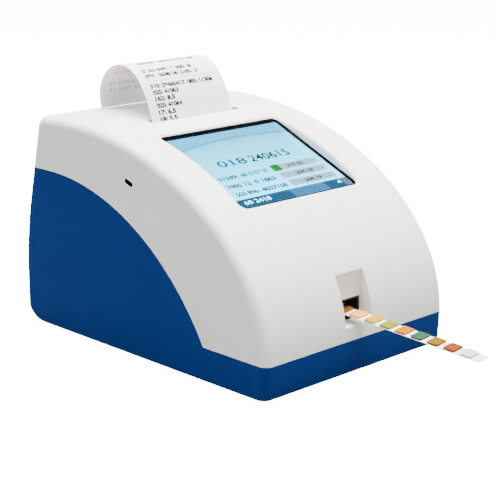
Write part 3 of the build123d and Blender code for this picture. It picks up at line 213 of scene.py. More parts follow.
def floor_paper():
    """Overexposed white paper that still bounces little light up at the object."""
    material = new_material("studio_paper", "#eeeeee", 0.9, Emission_Strength=PAPER_GLOW)
    surface(material).inputs["Emission Color"].default_value = colour("#ffffff")
    bounce = add_node(material, "ShaderNodeBsdfDiffuse", Color=colour("#7c7c7c"))
    mixed = by_ray(material, bounce.outputs["BSDF"], surface(material).outputs["BSDF"])
    output = material.node_tree.nodes["Material Output"]
    material.node_tree.links.new(mixed, output.inputs["Surface"])
    return material


floor.data.materials.append(floor_paper())
print("floor paper:", floor.data.materials[0].name)

# %% World
FILL_STRENGTH = 0.2
BACKDROP_STRENGTH = 16.0
world = bpy.data.worlds.new("studio")
bpy.context.scene.world = world
world.use_nodes = True
fill = world.node_tree.nodes["Background"]
fill.inputs["Color"].default_value = colour("#ffffff")
fill.inputs["Strength"].default_value = FILL_STRENGTH
backdrop = add_node(world, "ShaderNodeBackground", Strength=BACKDROP_STRENGTH)
mixed = by_ray(world, fill.outputs["Background"], backdrop.outputs["Background"])
world.node_tree.links.new(mixed, world.node_tree.nodes["World Output"].inputs["Surface"])
print("world:", world.name, len(world.node_tree.nodes), "nodes")

# %% [markdown]
# Three soft boxes shape the form. A strong one overhead keeps the crown bright, and two
# weak ones, to the left and to the front right, leave the walls a step darker. Each is a
# square area light, because its size is what makes a highlight broad and a shadow soft.

# %% Soft boxes
def soft_box(name, place, target, size, power):
    """A square area light at place that looks at target."""
    way = Vector(target) - Vector(place)
    bpy.ops.object.light_add(
        type="AREA", location=place, rotation=way.to_track_quat("-Z", "Y").to_euler()
    )
    lamp = bpy.context.object
    lamp.name = name
    lamp.data.size = size
    lamp.data.energy = power
    return lamp


# Name, place, target and size in metres, and power in watts.
SOFT_BOXES = (
    ("top_box", (0.10, 0.10, 1.3), (0, 0.03, 0.08), 1.3, 135),
    ("left_box", (-1.4, 0.1, 0.8), (0, 0.03, 0.06), 0.9, 2.4),
    ("right_box", (0.9, -1.2, 0.7), (0, 0, 0.06), 0.9, 5.2),
)
for name, place, target, size, power in SOFT_BOXES:
    soft_box(name, place, target, size, power)
print("soft boxes:", [lamp.name for lamp in bpy.data.lights])

# %% [markdown]
# ## Moulded ABS
# Both halves of the housing are injection moulded ABS. The mould is spark eroded, which
# leaves a fine matt grain of about 0.3 mm that breaks up highlights. Handling polishes it
# unevenly, so the roughness drifts a little over some centimetres. The grain is a shallow
# bump, and it is drawn at 0.45 mm so that it still shows from where the camera stands.

# %% Grained ABS
GRAIN_MM, GRAIN_DEPTH_MM = 0.45, 0.02
HANDLING_MM = 38


def moulded_abs(name, base, shade, rough, gloss=0.35):
    material = new_material(name, base, rough, IOR=1.54, Specular_IOR_Level=gloss)
    grained(material, patches(material, GRAIN_MM, detail=3), GRAIN_DEPTH_MM, 0.35)
    drift = patches(material, HANDLING_MM)
    tinted(material, drift, [(0.3, base), (0.75, shade)])
    rubbed(material, drift, rough - 0.05, rough + 0.06)
    return material


white_abs = moulded_abs("abs_warm_white", "#f3f2ee", "#efeee9", 0.46)
blue_abs = moulded_abs("abs_deep_blue", "#033073", "#032e6e", 0.5, gloss=0.05)
black_abs = moulded_abs("abs_black", "#232325", "#1d1d1f", 0.5)
tray_abs = moulded_abs("abs_tray_white", "#eceae4", "#e6e4dd", 0.42)
print("abs materials made")

# %% [markdown]
# ## Rubber, metals and boards
# The other materials follow the same recipe: start from what the part is made of, pick
# its typical gloss, then add the one detail that the eye expects, such as the cloudy
# shine of plated steel or the copper traces under a green solder mask.

# %% Rubber and metals
def rubber(name, base):
    material = new_material(name, base, 0.82, IOR=1.52)
    grained(material, patches(material, 0.6, detail=4), 0.03, 0.5)
    rubbed(material, patches(material, 5), 0.72, 0.9)
    return material


def plated(name, base, rough):
    material = new_material(name, base, rough, metallic=1.0)
    cloudy = patches(material, 2.5, detail=5, roughness=0.6)
    rubbed(material, cloudy, rough - 0.08, rough + 0.12)
    grained(material, patches(material, 0.25), 0.004, 0.4)
    return material


nitrile = rubber("nitrile_rubber_black", "#161617")
gasket_foam = rubber("gasket_foam_black", "#0b0b0d")
zinc_steel = plated("zinc_plated_steel", "#c3c4c6", 0.32)
dark_steel = plated("phosphated_steel", "#77787b", 0.45)
slot_steel = plated("blackened_steel", "#0c0c0d", 0.7)
brass = plated("turned_brass", "#cda75a", 0.28)
nickel = plated("nickel_plated_magnet", "#d5d3cc", 0.18)
motor_steel = plated("motor_can_steel", "#a6a8aa", 0.36)
print("rubber and metals made, zinc is", zinc_steel.name)

# %% Solder mask with traces
TRACE_MM = 9


def circuit_board(name):
    """Green mask over copper: the joints of a small brick pattern are the traces."""
    material = new_material(name, "#0c4a2a", 0.28, IOR=1.5, Coat_Weight=0.4)
    traces = add_node(
        material,
        "ShaderNodeTexBrick",
        {"offset": 0.37, "squash": 0.6},
        Vector=add_node(material, "ShaderNodeTexCoord").outputs["Object"],
        Scale=1000 / TRACE_MM,
        Color1=colour("#0c4a2a"),
        Color2=colour("#0e5230"),
        Mortar=colour("#1c7043"),
        Mortar_Size=0.03,
    )
    wire(material, traces.outputs["Color"], "Base Color")
    return material


board_green = circuit_board("fr4_green_mask")
epoxy = new_material("chip_epoxy_black", "#1b1b1d", 0.55)
grained(epoxy, patches(epoxy, 0.2), 0.01, 0.4)
print("boards:", board_green.name, epoxy.name)

# %% Gears, card and ceramic
acetal = new_material("acetal_ivory", "#e6e1d2", 0.38, Subsurface_Weight=0.08)
rubbed(acetal, patches(acetal, 1.5), 0.3, 0.46)
cardboard = new_material("core_cardboard", "#a98a60", 0.9)
tinted(cardboard, patches(cardboard, 1.2, detail=5), [(0.3, "#9d7d55"), (0.7, "#b79a70")])
alumina = new_material("print_head_alumina", "#57514b", 0.35)
grained(alumina, patches(alumina, 0.3), 0.01, 0.4)
reference_white = new_material("reference_ceramic", "#f7f6f2", 0.7)
grained(reference_white, patches(reference_white, 0.25), 0.01, 0.5)
print("gears, card and ceramic made")

# %% [markdown]
# ## Thermal paper
# Thermal paper is thin, smooth and slightly see-through: from behind, a lit sheet glows
# a little and the print on its other side shows as grey ghosts. A little translucency
# from subsurface light and a fibre bump of about a millimetre give that look.

# %% Paper materials
FIBRE_MM = 0.9


def paper(name, base, shade):
    material = new_material(name, base, 0.62, Subsurface_Weight=0.12, Subsurface_Scale=0.0006)
    fibres = patches(material, FIBRE_MM, detail=5, roughness=0.65)
    grained(material, fibres, 0.012, 0.35)
    tinted(material, fibres, [(0.3, base), (0.8, shade)])
    return material


thermal_paper = paper("thermal_paper", "#f7f8f8", "#f0f1f1")
roll_paper = paper("thermal_paper_roll", "#f3f3f1", "#e6e6e3")
print_ink = new_material("thermal_print_black", "#111113", 0.8, Specular_IOR_Level=0.1)
ghost_ink = new_material("print_show_through", "#b9bab7", 0.8)
print("papers:", thermal_paper.name, roll_paper.name)

# %% [markdown]
# ## The test strip
# A urine strip is a white plastic stick with ten square pads of filter paper, each soaked
# in its own reagent. One node holds all ten pads, so one material colours them: it reads
# the distance along the strip and steps through ten colours at the pads' own pitch. Each
# was typed as it should look, then nudged under the strong light from above.

# %% Strip and pads
FRONT = -57.1
PAD_PITCH = 9.85
LAST_PAD = 20.9
TOP_LIGHT = 9.0
PAD_COLOURS = {
    "cream": "#e4cc9c", "ochre": "#d8b068", "peach": "#f4dc98", "yellow": "#e4d400",
    "lime": "#c8cc20", "orange": "#e0bc00", "green": "#70a478", "mustard": "#c8a820",
    "terracotta": "#c88440", "blank": "#e8ece4",
}


def pad_material():
    material = new_material("reagent_filter_paper", "#d8b068", 0.85, Specular_IOR_Level=0.1)
    place = add_node(material, "ShaderNodeTexCoord").outputs["Object"]
    depth = add_node(material, "ShaderNodeSeparateXYZ", Vector=place).outputs["Y"]
    first = (FRONT + LAST_PAD + PAD_PITCH / 2) * MM
    last = first - len(PAD_COLOURS) * PAD_PITCH * MM
    along = add_node(
        material, "ShaderNodeMapRange", Value=depth, From_Min=first, From_Max=last
    ).outputs["Result"]
    stops = [(k / len(PAD_COLOURS), c) for k, c in enumerate(PAD_COLOURS.values())]
    tinted(material, along, stops, mode="CONSTANT", light=TOP_LIGHT)
    grained(material, patches(material, 0.5, detail=5, roughness=0.7), 0.05, 0.8)
    return material


pads = pad_material()
strip_plastic = new_material("strip_polystyrene", "#f4f2ec", 0.35, IOR=1.55)
rubbed(strip_plastic, patches(strip_plastic, 3), 0.28, 0.42)
print("pads:", len(PAD_COLOURS), "colours,", PAD_PITCH, "mm apart")

# %% [markdown]
# ## Glass
# The touch panel is 1.8 mm of clear glass with an anti-glare coat. The display below has
# to shine through it, so it is a real transmitting solid with a slight roughness, and a
# faint tint keeps its ground edge visible.

# %% Glass materials
def clear_glass(name, base, rough):
    return new_material(name, base, rough, IOR=1.5, Transmission_Weight=1.0)


panel_glass = clear_glass("touch_panel_glass", "#fafdfd", 0.03)
lens_glass = clear_glass("lens_glass", "#f2f6fa", 0.0)
print("materials:", len(bpy.data.materials))

# %% [markdown]
# ## Dressing the nodes
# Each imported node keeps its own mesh. Its material slots are filled from one table, so
# it is easy to see that no node was forgotten.

# %% Node materials
display_back = new_material("display_bezel_steel", "#8b8d90", 0.4, metallic=0.8)
rubbed(display_back, patches(display_back, 3), 0.35, 0.5)
gloss_black = new_material("gloss_black_nylon", "#121214", 0.22)
rubbed(gloss_black, patches(gloss_black, 6), 0.18, 0.3)

WEARS = {
    "upper_shell": white_abs, "lower_shell": blue_abs, "paper_door": blue_abs,
    "rubber_feet": nitrile, "housing_screws": zinc_steel, "lock_plate": slot_steel,
    "screen_gasket": gasket_foam, "touch_glass": panel_glass, "lcd_module": display_back,
    "screen_bracket": zinc_steel, "bracket_screws": zinc_steel, "hatch_liner": black_abs,
    "strip_tray": tray_abs, "reference_pad": reference_white, "test_strip": strip_plastic,
    "reagent_pads": pads, "tray_bed": black_abs, "bed_screws": zinc_steel,
    "drive_gear": acetal, "motor_pinion": brass, "tray_motor": motor_steel,
    "optical_head": black_abs, "head_lens": lens_glass, "sensor_board": board_green,
    "printer_frame": black_abs, "frame_screws": zinc_steel, "print_head": alumina,
    "head_springs": zinc_steel, "platen_roller": nitrile, "platen_shaft": zinc_steel,
    "platen_gear": acetal, "printer_pinion": brass, "printer_motor": motor_steel,
    "roll_cradle": black_abs, "roll_spindle": acetal, "roll_core": cardboard,
    "paper_roll": roll_paper, "receipt_paper": thermal_paper, "hinge_pins": zinc_steel,
    "door_magnets": nickel, "catch_plate": zinc_steel, "main_board": board_green,
    "board_screws": zinc_steel, "board_chips": epoxy, "coin_cell": nickel,
    "serial_port": zinc_steel, "jackscrews": dark_steel, "usb_port": zinc_steel,
    "dc_jack": gloss_black, "switch_body": gloss_black, "power_rocker": gloss_black,
}
for name, thing in nodes.items():
    thing.data.materials.clear()
    thing.data.materials.append(WEARS[name])
print("dressed", len(WEARS), "nodes")

# %% [markdown]
# ## The picture on the display
# A liquid crystal display is a lit sheet behind the glass. The sheet here is a rounded
# plane that glows in pale cyan, and each field, button and number on it is another flat
# sheet. Sheets that overlap lie a few hundredths of a millimetre apart, because two in
# one plane would flicker. All are measured from the middle of the glass, in millimetres.

# %% The display's own plane
SCREEN_LOW = Vector((0, -17.2, 85.76))
SCREEN_HIGH = Vector((0, 44.9, 112.47))
SCREEN_RECESS = 2.2
GLASS_THICKNESS, GLASS_GAP, FIELD_LIFT = 1.8, 0.3, 0.04
up_slope = (SCREEN_HIGH - SCREEN_LOW).normalized()
screen_normal = Vector((1, 0, 0)).cross(up_slope)
glass_centre = (SCREEN_LOW + SCREEN_HIGH) / 2 - screen_normal * SCREEN_RECESS
DISPLAY_DEPTH = FIELD_LIFT - GLASS_THICKNESS - GLASS_GAP


def on_display(lift):
    """Places flat millimetre coordinates on the display, lift mm above its face."""
    origin = (glass_centre + screen_normal * (DISPLAY_DEPTH + lift)) * MM
    turn = Matrix((Vector((1, 0, 0)), up_slope, screen_normal)).transposed()
    return Matrix.Translation(origin) @ turn.to_4x4() @ Matrix.Scale(MM, 4)


print("glass centre (mm):", [round(v, 2) for v in glass_centre])

# %% [markdown]
# The rounded sheets all start the same way: a plane is scaled to its size, its corners
# are cut round in edit mode by a vertex bevel, and the sheet is then laid on the
# display.

# %% Rounded sheet
def flat_plane(name, x0, y0, x1, y1, radius=0.0):
    """A plane in millimetres between two corners, its corners rounded by radius."""
    clear_selection()
    bpy.ops.mesh.primitive_plane_add(size=1, location=(0, 0, 0))
    piece = bpy.context.object
    piece.name = piece.data.name = name
    piece.data.transform(
        Matrix.Translation(((x0 + x1) / 2, (y0 + y1) / 2, 0))
        @ Matrix.Diagonal((x1 - x0, y1 - y0, 1, 1))
    )
    if radius:
        bpy.ops.object.mode_set(mode="EDIT")
        bpy.ops.mesh.select_all(action="SELECT")
        bpy.ops.mesh.bevel(offset=radius, segments=6, affect="VERTICES")
        bpy.ops.object.mode_set(mode="OBJECT")
    return piece


def finish_piece(piece, place, material, body="housing"):
    """Puts a piece's place into its mesh, gives it its material, and lets it ride."""
    piece.data.transform(place)
    piece.data.materials.clear()
    piece.data.materials.append(material)
    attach(piece, body)
    return piece


# %% [markdown]
# A display makes its own light, so its inks use emission and reflect nothing. Each was
# typed as it should look and then nudged, and shown_as works out how much light
# it has to send, with what the glass takes away added.

# %% Glowing inks
GLASS_PASSES = 0.88


def glow(name, hex_value):
    """An ink that shows as hex_value through the glass by its own light."""
    light = shown_as(hex_value, GLASS_PASSES)[:3]
    strength = max(light)
    material = new_material(name, "#020202", 0.6, Specular_IOR_Level=0.0)
    surface(material).inputs["Emission Color"].default_value = (*(c / strength for c in light), 1)
    surface(material).inputs["Emission Strength"].default_value = strength
    return material


cyan_field = glow("display_cyan_field", "#80e4f0")
band_blue = glow("display_header_blue", "#60c8dc")
thin_teal = glow("display_teal_line", "#2080a0")
title_teal = glow("display_title_teal", "#0070a0")
ink_dark = glow("display_dark_ink", "#101820")
ink_green = glow("display_green_ink", "#009818")
button_grey = glow("display_button_grey", "#b0c4d0")
bar_teal = glow("display_bar_teal", "#006890")
bar_haze = glow("display_bar_haze", "#4090b8")
bar_white = glow("display_bar_white", "#e0f4fc")
mask_black = new_material("glass_mask_black", "#0d0d10", 0.25, Specular_IOR_Level=0.1)

# %% A soft gradient over the field
FIELD_LOW, FIELD_HIGH = 83, 109


def shade_field(material):
    """Brighter low on the display and a little bluer near its top."""
    place = add_node(material, "ShaderNodeTexCoord").outputs["Object"]
    height = add_node(material, "ShaderNodeSeparateXYZ", Vector=place).outputs["Z"]
    ends = {"From_Min": FIELD_LOW * MM, "From_Max": FIELD_HIGH * MM}
    rise = add_node(material, "ShaderNodeMapRange", Value=height, **ends).outputs["Result"]
    strength = surface(material).inputs["Emission Strength"].default_value
    shades = [(0, "#90e8f0"), (0.55, "#80e0e8"), (1, "#68ccd8")]
    tinted(material, rise, shades, light=strength * GLASS_PASSES, socket="Emission Color")


shade_field(cyan_field)
print("field shaded from", FIELD_LOW, "to", FIELD_HIGH, "mm")

# %% Field, bands and buttons
LIT_LEFT, LIT_LOW, LIT_RIGHT, LIT_TOP = -41.6, -31.6, 41.8, 32.4
BAR_TOP = -24.4
BUTTON_LEFT, BUTTON_RIGHT, BUTTON_HEIGHT = 5.0, 38.6, 4.9
BUTTON_TOPS = (-3.3, -10.4, -17.6)


def display_sheet(name, corners, lift, material, radius=0.0):
    piece = flat_plane(name, *corners, radius=radius)
    return finish_piece(piece, on_display(lift), material)


display_sheet("display_field", (LIT_LEFT, LIT_LOW, LIT_RIGHT, LIT_TOP), 0.0, cyan_field, 0.6)
display_sheet("display_bottom_bar", (LIT_LEFT, LIT_LOW, LIT_RIGHT, BAR_TOP), 0.04, bar_teal, 0.5)
display_sheet("display_bar_haze", (-1.0, LIT_LOW + 0.2, 24.5, BAR_TOP), 0.06, bar_haze)
for row, top in enumerate(BUTTON_TOPS):
    corners = (BUTTON_LEFT, top - BUTTON_HEIGHT, BUTTON_RIGHT, top)
    display_sheet(f"display_button_{row}", corners, 0.05, button_grey, 0.4)
display_sheet("display_status_square", (4.2, -8.6, 10.4, -3.0), 0.08, ink_green, 0.3)

# %% [markdown]
# The header band has a curved lower edge. It starts as a grid, so that there are
# vertices to move, and each column's lower vertex is then lifted onto a shallow arc.

# %% Header band and its line
ARC_CENTRE, ARC_HALF_WIDTH = 0.1, 41.6
ARC_TOP = LIT_TOP - 0.1
CREST_X, CREST_HEIGHT, ARC_FALL = 6, 25.6, 0.0021


def arc_height(x):
    """Height of the header band's lower edge."""
    return CREST_HEIGHT - ARC_FALL * (x - CREST_X) ** 2


def arc_sheet(name, low, high, lift, material):
    """A band between two offsets above the header's arc."""
    clear_selection()
    bpy.ops.mesh.primitive_grid_add(x_subdivisions=40, y_subdivisions=1, size=2)
    piece = bpy.context.object
    piece.name = piece.data.name = name
    for vertex in piece.data.vertices:
        x = ARC_CENTRE + vertex.co.x * ARC_HALF_WIDTH
        offset = low if vertex.co.y < 0 else high
        top = ARC_TOP if offset is None else arc_height(x) + offset
        vertex.co = (x, top, 0)
    return finish_piece(piece, on_display(lift), material)


arc_sheet("display_header_band", 0, None, 0.04, band_blue)
arc_sheet("display_header_line", -0.28, 0.28, 0.07, thin_teal)
arc_sheet("display_header_shade", -1.6, -0.9, 0.03, band_blue)
print("header's edge at its crest:", arc_height(CREST_X))

# %% [markdown]
# ## Numbers
# Text starts as a font curve, because that gives clean outlines, and is converted to a
# mesh before it is placed. Its width is then measured and scaled to the length that the
# line has on the real screen.

# %% Number helper
DIGIT_SHARE = 0.72
NUMBER_LIFT = 0.11


def number_mesh(name, words, height, width=None, weight=0.02):
    """Flat text in millimetres, its baseline on y 0 and its left end on x 0.

    DIGIT_SHARE is how much of the font's size a digit's height takes. weight moves the
    outline out by that share of the size, which makes bolder strokes.
    """
    clear_selection()
    bpy.ops.object.text_add(location=(0, 0, 0))
    piece = bpy.context.object
    piece.name = name
    piece.data.body = words
    piece.data.size = height / DIGIT_SHARE
    piece.data.offset = weight * piece.data.size
    piece.data.resolution_u = 3
    bpy.ops.object.convert(target="MESH")
    piece = bpy.context.object
    low = min(v.co.x for v in piece.data.vertices)
    high = max(v.co.x for v in piece.data.vertices)
    stretch = width / (high - low) if width else 1.0
    piece.data.transform(Matrix.Diagonal((stretch, 1, 1, 1)) @ Matrix.Translation((-low, 0, 0)))
    piece.data.name = name
    return piece


def display_number(name, words, x, y, height, width, material, weight=0.045):
    piece = number_mesh(name, words, height, width, weight)
    place = on_display(NUMBER_LIFT) @ Matrix.Translation((x, y, 0))
    return finish_piece(piece, place, material)


# %% The rows of numbers
STATUS_ROWS = (
    ("01249:", "48 0157 39", -7.6, ink_green, 13.5, 19.5),
    ("7405 12:", "0 1863", -14.8, ink_dark, 17.0, 15.0),
    ("503 896:", "4027158", -21.9, ink_dark, 16.0, 18.0),
)
BUTTON_NUMBERS = (("310 52", 11.5), ("204 18", 12.5), ("204 19", 12.5))
TITLE_HEIGHT, ROW_HEIGHT, BUTTON_NUMBER_HEIGHT = 5.6, 3.0, 2.4
ROW_START, ROW_GAP = -34.0, 2.0

display_number("display_title_left", "018", -24.5, 2.8, TITLE_HEIGHT, 20.0, title_teal, 0.02)
display_number("display_title_right", "240615", -2.0, 2.8, TITLE_HEIGHT, 28.6, ink_dark, 0.02)
for row, (left, right, y, ink, left_width, right_width) in enumerate(STATUS_ROWS):
    name = f"display_row_{row}"
    right_start = ROW_START + left_width + ROW_GAP
    display_number(name + "_left", left, ROW_START, y, ROW_HEIGHT, left_width, ink_dark)
    display_number(name + "_right", right, right_start, y, ROW_HEIGHT, right_width, ink)
for row, (words, width) in enumerate(BUTTON_NUMBERS):
    low = BUTTON_TOPS[row] - 3.7
    height = BUTTON_NUMBER_HEIGHT
    display_number(f"display_button_number_{row}", words, 15.5, low, height, width, ink_dark)
    display_number(f"display_button_mark_{row}", ">", 34.6, low + 0.1, 2.0, 1.5, ink_dark)
display_number("display_bar_number", "60 2418", -34.5, -29.0, ROW_HEIGHT, 18.0, bar_white, 0.0)
display_number("display_bar_mark", "<", 33.5, -28.6, ROW_HEIGHT, 2.2, bar_white)

# %% [markdown]
# ## Black mask
# Round the lit area, the glass is printed black from behind. The mask starts as one
# plane; an inset in edit mode makes the ring, and its middle face is deleted.

# %% The printed mask under the glass
MASK_HALF_WIDTH, MASK_HALF_HEIGHT, MASK_RING = 43.9, 35.4, 2.6
MASK_CORNER, MASK_LIFT = 3.0, 0.15
OPENING_WIDTH, OPENING_HEIGHT = 83.0, 63.6
OPENING_SHIFT = (0.1, 0.4, 0)


def black_mask():
    piece = flat_plane(
        "glass_mask", -MASK_HALF_WIDTH, -MASK_HALF_HEIGHT, MASK_HALF_WIDTH, MASK_HALF_HEIGHT,
        radius=MASK_CORNER,
    )
    wide = OPENING_WIDTH / (2 * (MASK_HALF_WIDTH - MASK_RING))
    high = OPENING_HEIGHT / (2 * (MASK_HALF_HEIGHT - MASK_RING))
    bpy.ops.object.mode_set(mode="EDIT")
    bpy.ops.mesh.select_all(action="SELECT")
    bpy.ops.mesh.inset(thickness=MASK_RING)
    bpy.ops.transform.resize(value=(wide, high, 1))
    bpy.ops.transform.translate(value=OPENING_SHIFT)
    bpy.ops.mesh.delete(type="FACE")
    bpy.ops.object.mode_set(mode="OBJECT")
    print("mask faces", len(piece.data.polygons))
    return piece


finish_piece(black_mask(), on_display(MASK_LIFT), mask_black)

# %% [markdown]
# ## The printed receipt
# The printer heats dots into the paper, so the print lies in the sheet's surface and
# bends with it. Each line of numbers is made flat, and every vertex is then carried onto
# the paper's own path: first a straight run out of the slot, then two arcs. A distance
# along the paper and a lift above its face are enough to find a point in space.

# %% The paper's path in millimetres
SLOT_FRONT, SLOT_GAP, SLOT_HEIGHT = 119.3, 0.35, 115.0
PAPER_AT_SLOT = (FRONT + SLOT_FRONT + SLOT_GAP, SLOT_HEIGHT)
LEAN = radians(22.0)
# Each run is its length, or else its radius and its turn.
RUNS = ((10.0, None, 0.0), (None, 41.7, radians(22.0)), (None, 18.5, radians(156.6)))
HALF_PAPER = 0.125


def paper_point(distance, lift):
    """Y and Z of a point on the receipt; a negative lift is on its inner face."""
    y, z = PAPER_AT_SLOT
    heading = LEAN
    for length, radius, turn in RUNS:
        run = length if radius is None else radius * turn
        last = (length, radius, turn) == RUNS[-1]
        used = distance if last else min(distance, run)
        if radius is None:
            y += used * sin(heading)
            z += used * cos(heading)
        else:
            centre_y, centre_z = y + cos(heading) * radius, z - sin(heading) * radius
            heading += used / radius
            y, z = centre_y - cos(heading) * radius, centre_z + sin(heading) * radius
        distance -= used
        if distance <= 0:
            break
    side = HALF_PAPER * (1 if lift > 0 else -1) + lift
    return y - cos(heading) * side, z + sin(heading) * side


print("top of the loop:", [round(v, 1) for v in paper_point(50, 0.01)])

# %% Wrapping a flat piece onto the paper
PRINT_LIFT = 0.02


def wrap_on_paper(piece, x, distance, lift, material):
    """Bends a flat piece along the paper, from a distance up it, lift mm off its face."""
    for vertex in piece.data.vertices:
        y, z = paper_point(distance + vertex.co.y, lift)
        vertex.co = ((x + vertex.co.x) * MM, y * MM, z * MM)
    piece.data.materials.clear()
    piece.data.materials.append(material)
    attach(piece, "housing")
    return piece


# %% Printed rows
MARGIN = -25.5
# Each row is its numbers, its indent, its distance up the paper, its height and its width.
PRINTED_ROWS = (
    ("02468 1035792 6148", 3.0, 36.6, 2.5, 40.0),
    ("0163 049: 7 30518", 0.2, 28.9, 2.3, 35.0),
    ("0941 2608: 0612-05-15", 0.4, 25.2, 2.3, 37.0),
    ("310: 29460417, 085: 11306", 0.2, 18.8, 2.4, 44.5),
    ("025: 41063", 0.2, 15.2, 2.4, 18.0),
    ("162: 8.5", 0.4, 11.6, 2.4, 14.0),
    ("025: 41064", 0.2, 7.9, 2.4, 18.0),
    ("17: 6.5", 0.3, 4.1, 2.4, 12.0),
    ("18: 5.5", 0.3, 0.4, 2.4, 12.0),
)
for row, (words, indent, distance, height, width) in enumerate(PRINTED_ROWS):
    line = number_mesh(f"receipt_row_{row}", words, height, width, weight=0.06)
    wrap_on_paper(line, MARGIN + indent, distance, PRINT_LIFT, print_ink)
print("printed rows:", len(PRINTED_ROWS))

# %% [markdown]
# The dashed lines are one dash, modelled once and copied along the row, each copy with
# its own mesh. The dashes of a row are then joined, so that a row stays one piece.

# %% Joining copies
def joined(pieces):
    """Joins pieces into the first of them."""
    clear_selection()
    for piece in pieces:
        piece.select_set(True)
    bpy.context.view_layer.objects.active = pieces[0]
    bpy.ops.object.join()
    return bpy.context.object


# %% Dashed lines
DASH_PITCH, DASH_SHARE, DASH_HEIGHT, DASH_CORNER = 1.9, 0.55, 0.28, 0.05


def dashed_line(name, distance, first, last):
    """Dashes across the paper, at a distance up it, between two places across it."""
    count = int((last - first) / DASH_PITCH)
    dash = flat_plane(name, 0, 0, DASH_PITCH * DASH_SHARE, DASH_HEIGHT, radius=DASH_CORNER)
    copies = [dash]
    for k in range(1, count):
        copy = dash.copy()
        copy.data = dash.data.copy()
        copy.data.transform(Matrix.Translation((k * DASH_PITCH, 0, 0)))
        bpy.context.collection.objects.link(copy)
        copies.append(copy)
    return wrap_on_paper(joined(copies), first, distance, PRINT_LIFT, print_ink)


dashed_line("receipt_dashes_upper", 33.6, MARGIN, 22.0)
dashed_line("receipt_dashes_lower", 22.9, MARGIN, 22.5)
print("dashes are", DASH_PITCH, "mm apart")

# %% [markdown]
# The sheet is thin, so print on its far side shows through as pale grey. Where the end
# curls over, the inner face looks out, and the rows on it are mirrored: a row that is
# seen through the paper reads backwards.

# %% Show-through on the inner face of the curled end
GHOST_ROWS = ((52.0, 22.0), (55.5, 26.0), (63.0, 30.0), (66.6, 34.0))
GHOST_HEIGHT = 2.2


def mirrored(piece, width):
    """Ghost print reads backwards, because it is seen from the other side."""
    piece.data.transform(Matrix.Translation((width, 0, 0)) @ Matrix.Diagonal((-1, 1, 1, 1)))
    piece.data.flip_normals()
    return piece


for row, (distance, width) in enumerate(GHOST_ROWS):
    ghost = number_mesh(f"receipt_ghost_{row}", "0417 29 3605 18", GHOST_HEIGHT, width)
    wrap_on_paper(mirrored(ghost, width), MARGIN + 1, distance, -PRINT_LIFT, ghost_ink)

# %% [markdown]
# ## Rear connectors
# The solids give each connector its shell and body. What a reader of the real thing
# would miss is inside them: nine gold pins in the serial plug, four contacts on the
# tongue of the square port, and the two marks on the power switch.

# %% Contact metal
contact_gold = plated("gold_flashed_contact", "#d9b45a", 0.25)
mark_white = new_material("moulded_mark_white", "#e8e8e6", 0.5)
rubbed(mark_white, patches(mark_white, 1.0), 0.4, 0.6)
print("contact materials made")

# %% [markdown]
# A pin starts as a cylinder and a contact as a cube. Stamped metal has no sharp edges,
# and a rounded one catches a thin highlight, so each gets a bevel modifier that is
# applied at once.

# %% Solid contacts
def bevelled(piece, width, segments=3):
    """Rounds a solid's edges with an applied bevel modifier."""
    rounding = piece.modifiers.new("rounding", "BEVEL")
    rounding.width = width
    rounding.segments = segments
    rounding.limit_method = "ANGLE"
    clear_selection()
    piece.select_set(True)
    bpy.context.view_layer.objects.active = piece
    bpy.ops.object.modifier_apply(modifier="rounding")
    return piece


def gold_pin(x, z, start, end, radius):
    """A round pin along Y, in millimetres, with a domed tip."""
    clear_selection()
    bpy.ops.mesh.primitive_cylinder_add(vertices=24, radius=radius, depth=end - start)
    pin = bpy.context.object
    pin.data.transform(Matrix.Rotation(radians(90), 4, "X"))
    pin.data.transform(Matrix.Translation((x, (start + end) / 2, z)))
    return bevelled(pin, radius * 0.55)


def block(name, centre, size, rounding):
    """A rounded block in millimetres."""
    clear_selection()
    bpy.ops.mesh.primitive_cube_add(size=1)
    piece = bpy.context.object
    piece.name = name
    piece.data.transform(Matrix.Translation(centre) @ Matrix.Diagonal((*size, 1)))
    return bevelled(piece, rounding)


IN_MM = Matrix.Scale(MM, 4)
print("contacts are modelled in millimetres")

# %% Nine gold sleeves on the serial pins
PIN_START, PIN_END = 127.0, 131.05
SERIAL_X, SERIAL_Z = -32.0, 20.9
PIN_PITCH, PIN_RADIUS = 2.76, 0.54
PIN_ROWS = ((5, -5.5, 1.4), (4, -4.1, -1.4))
sleeves = [
    gold_pin(SERIAL_X + start + k * PIN_PITCH, SERIAL_Z + rise, PIN_START, PIN_END, PIN_RADIUS)
    for count, start, rise in PIN_ROWS
    for k in range(count)
]
sleeve_set = joined(sleeves)
sleeve_set.name = sleeve_set.data.name = "serial_pin_sleeves"
finish_piece(sleeve_set, IN_MM, contact_gold)
print("pin sleeves:", len(PIN_ROWS), "rows")

# %% Four contacts on the square port's tongue
USB_X, USB_Z = 18.0, 20.0
TONGUE_HALF, CONTACT_OFFSET, CONTACT_Y = 1.6, 1.25, 127.6
CONTACT_SIZE, CONTACT_EDGE = (1.0, 6.8, 0.16), 0.06


def usb_contact(side, face):
    """One strip on the tongue: side is left or right, face is below or above."""
    centre = (USB_X + side * CONTACT_OFFSET, CONTACT_Y, USB_Z + face * TONGUE_HALF)
    return block("usb_contact", centre, CONTACT_SIZE, CONTACT_EDGE)


strips = [usb_contact(side, face) for side in (-1, 1) for face in (-1, 1)]
strip_set = joined(strips)
strip_set.name = strip_set.data.name = "usb_contacts"
finish_piece(strip_set, IN_MM, contact_gold)
print("contacts on the tongue:", CONTACT_SIZE, "mm each")

# %% [markdown]
# The switch's marks are a bar and a ring, the usual signs for on and off. Each lies on
# its own half of the rocker and rides it, so both tip with the switch.

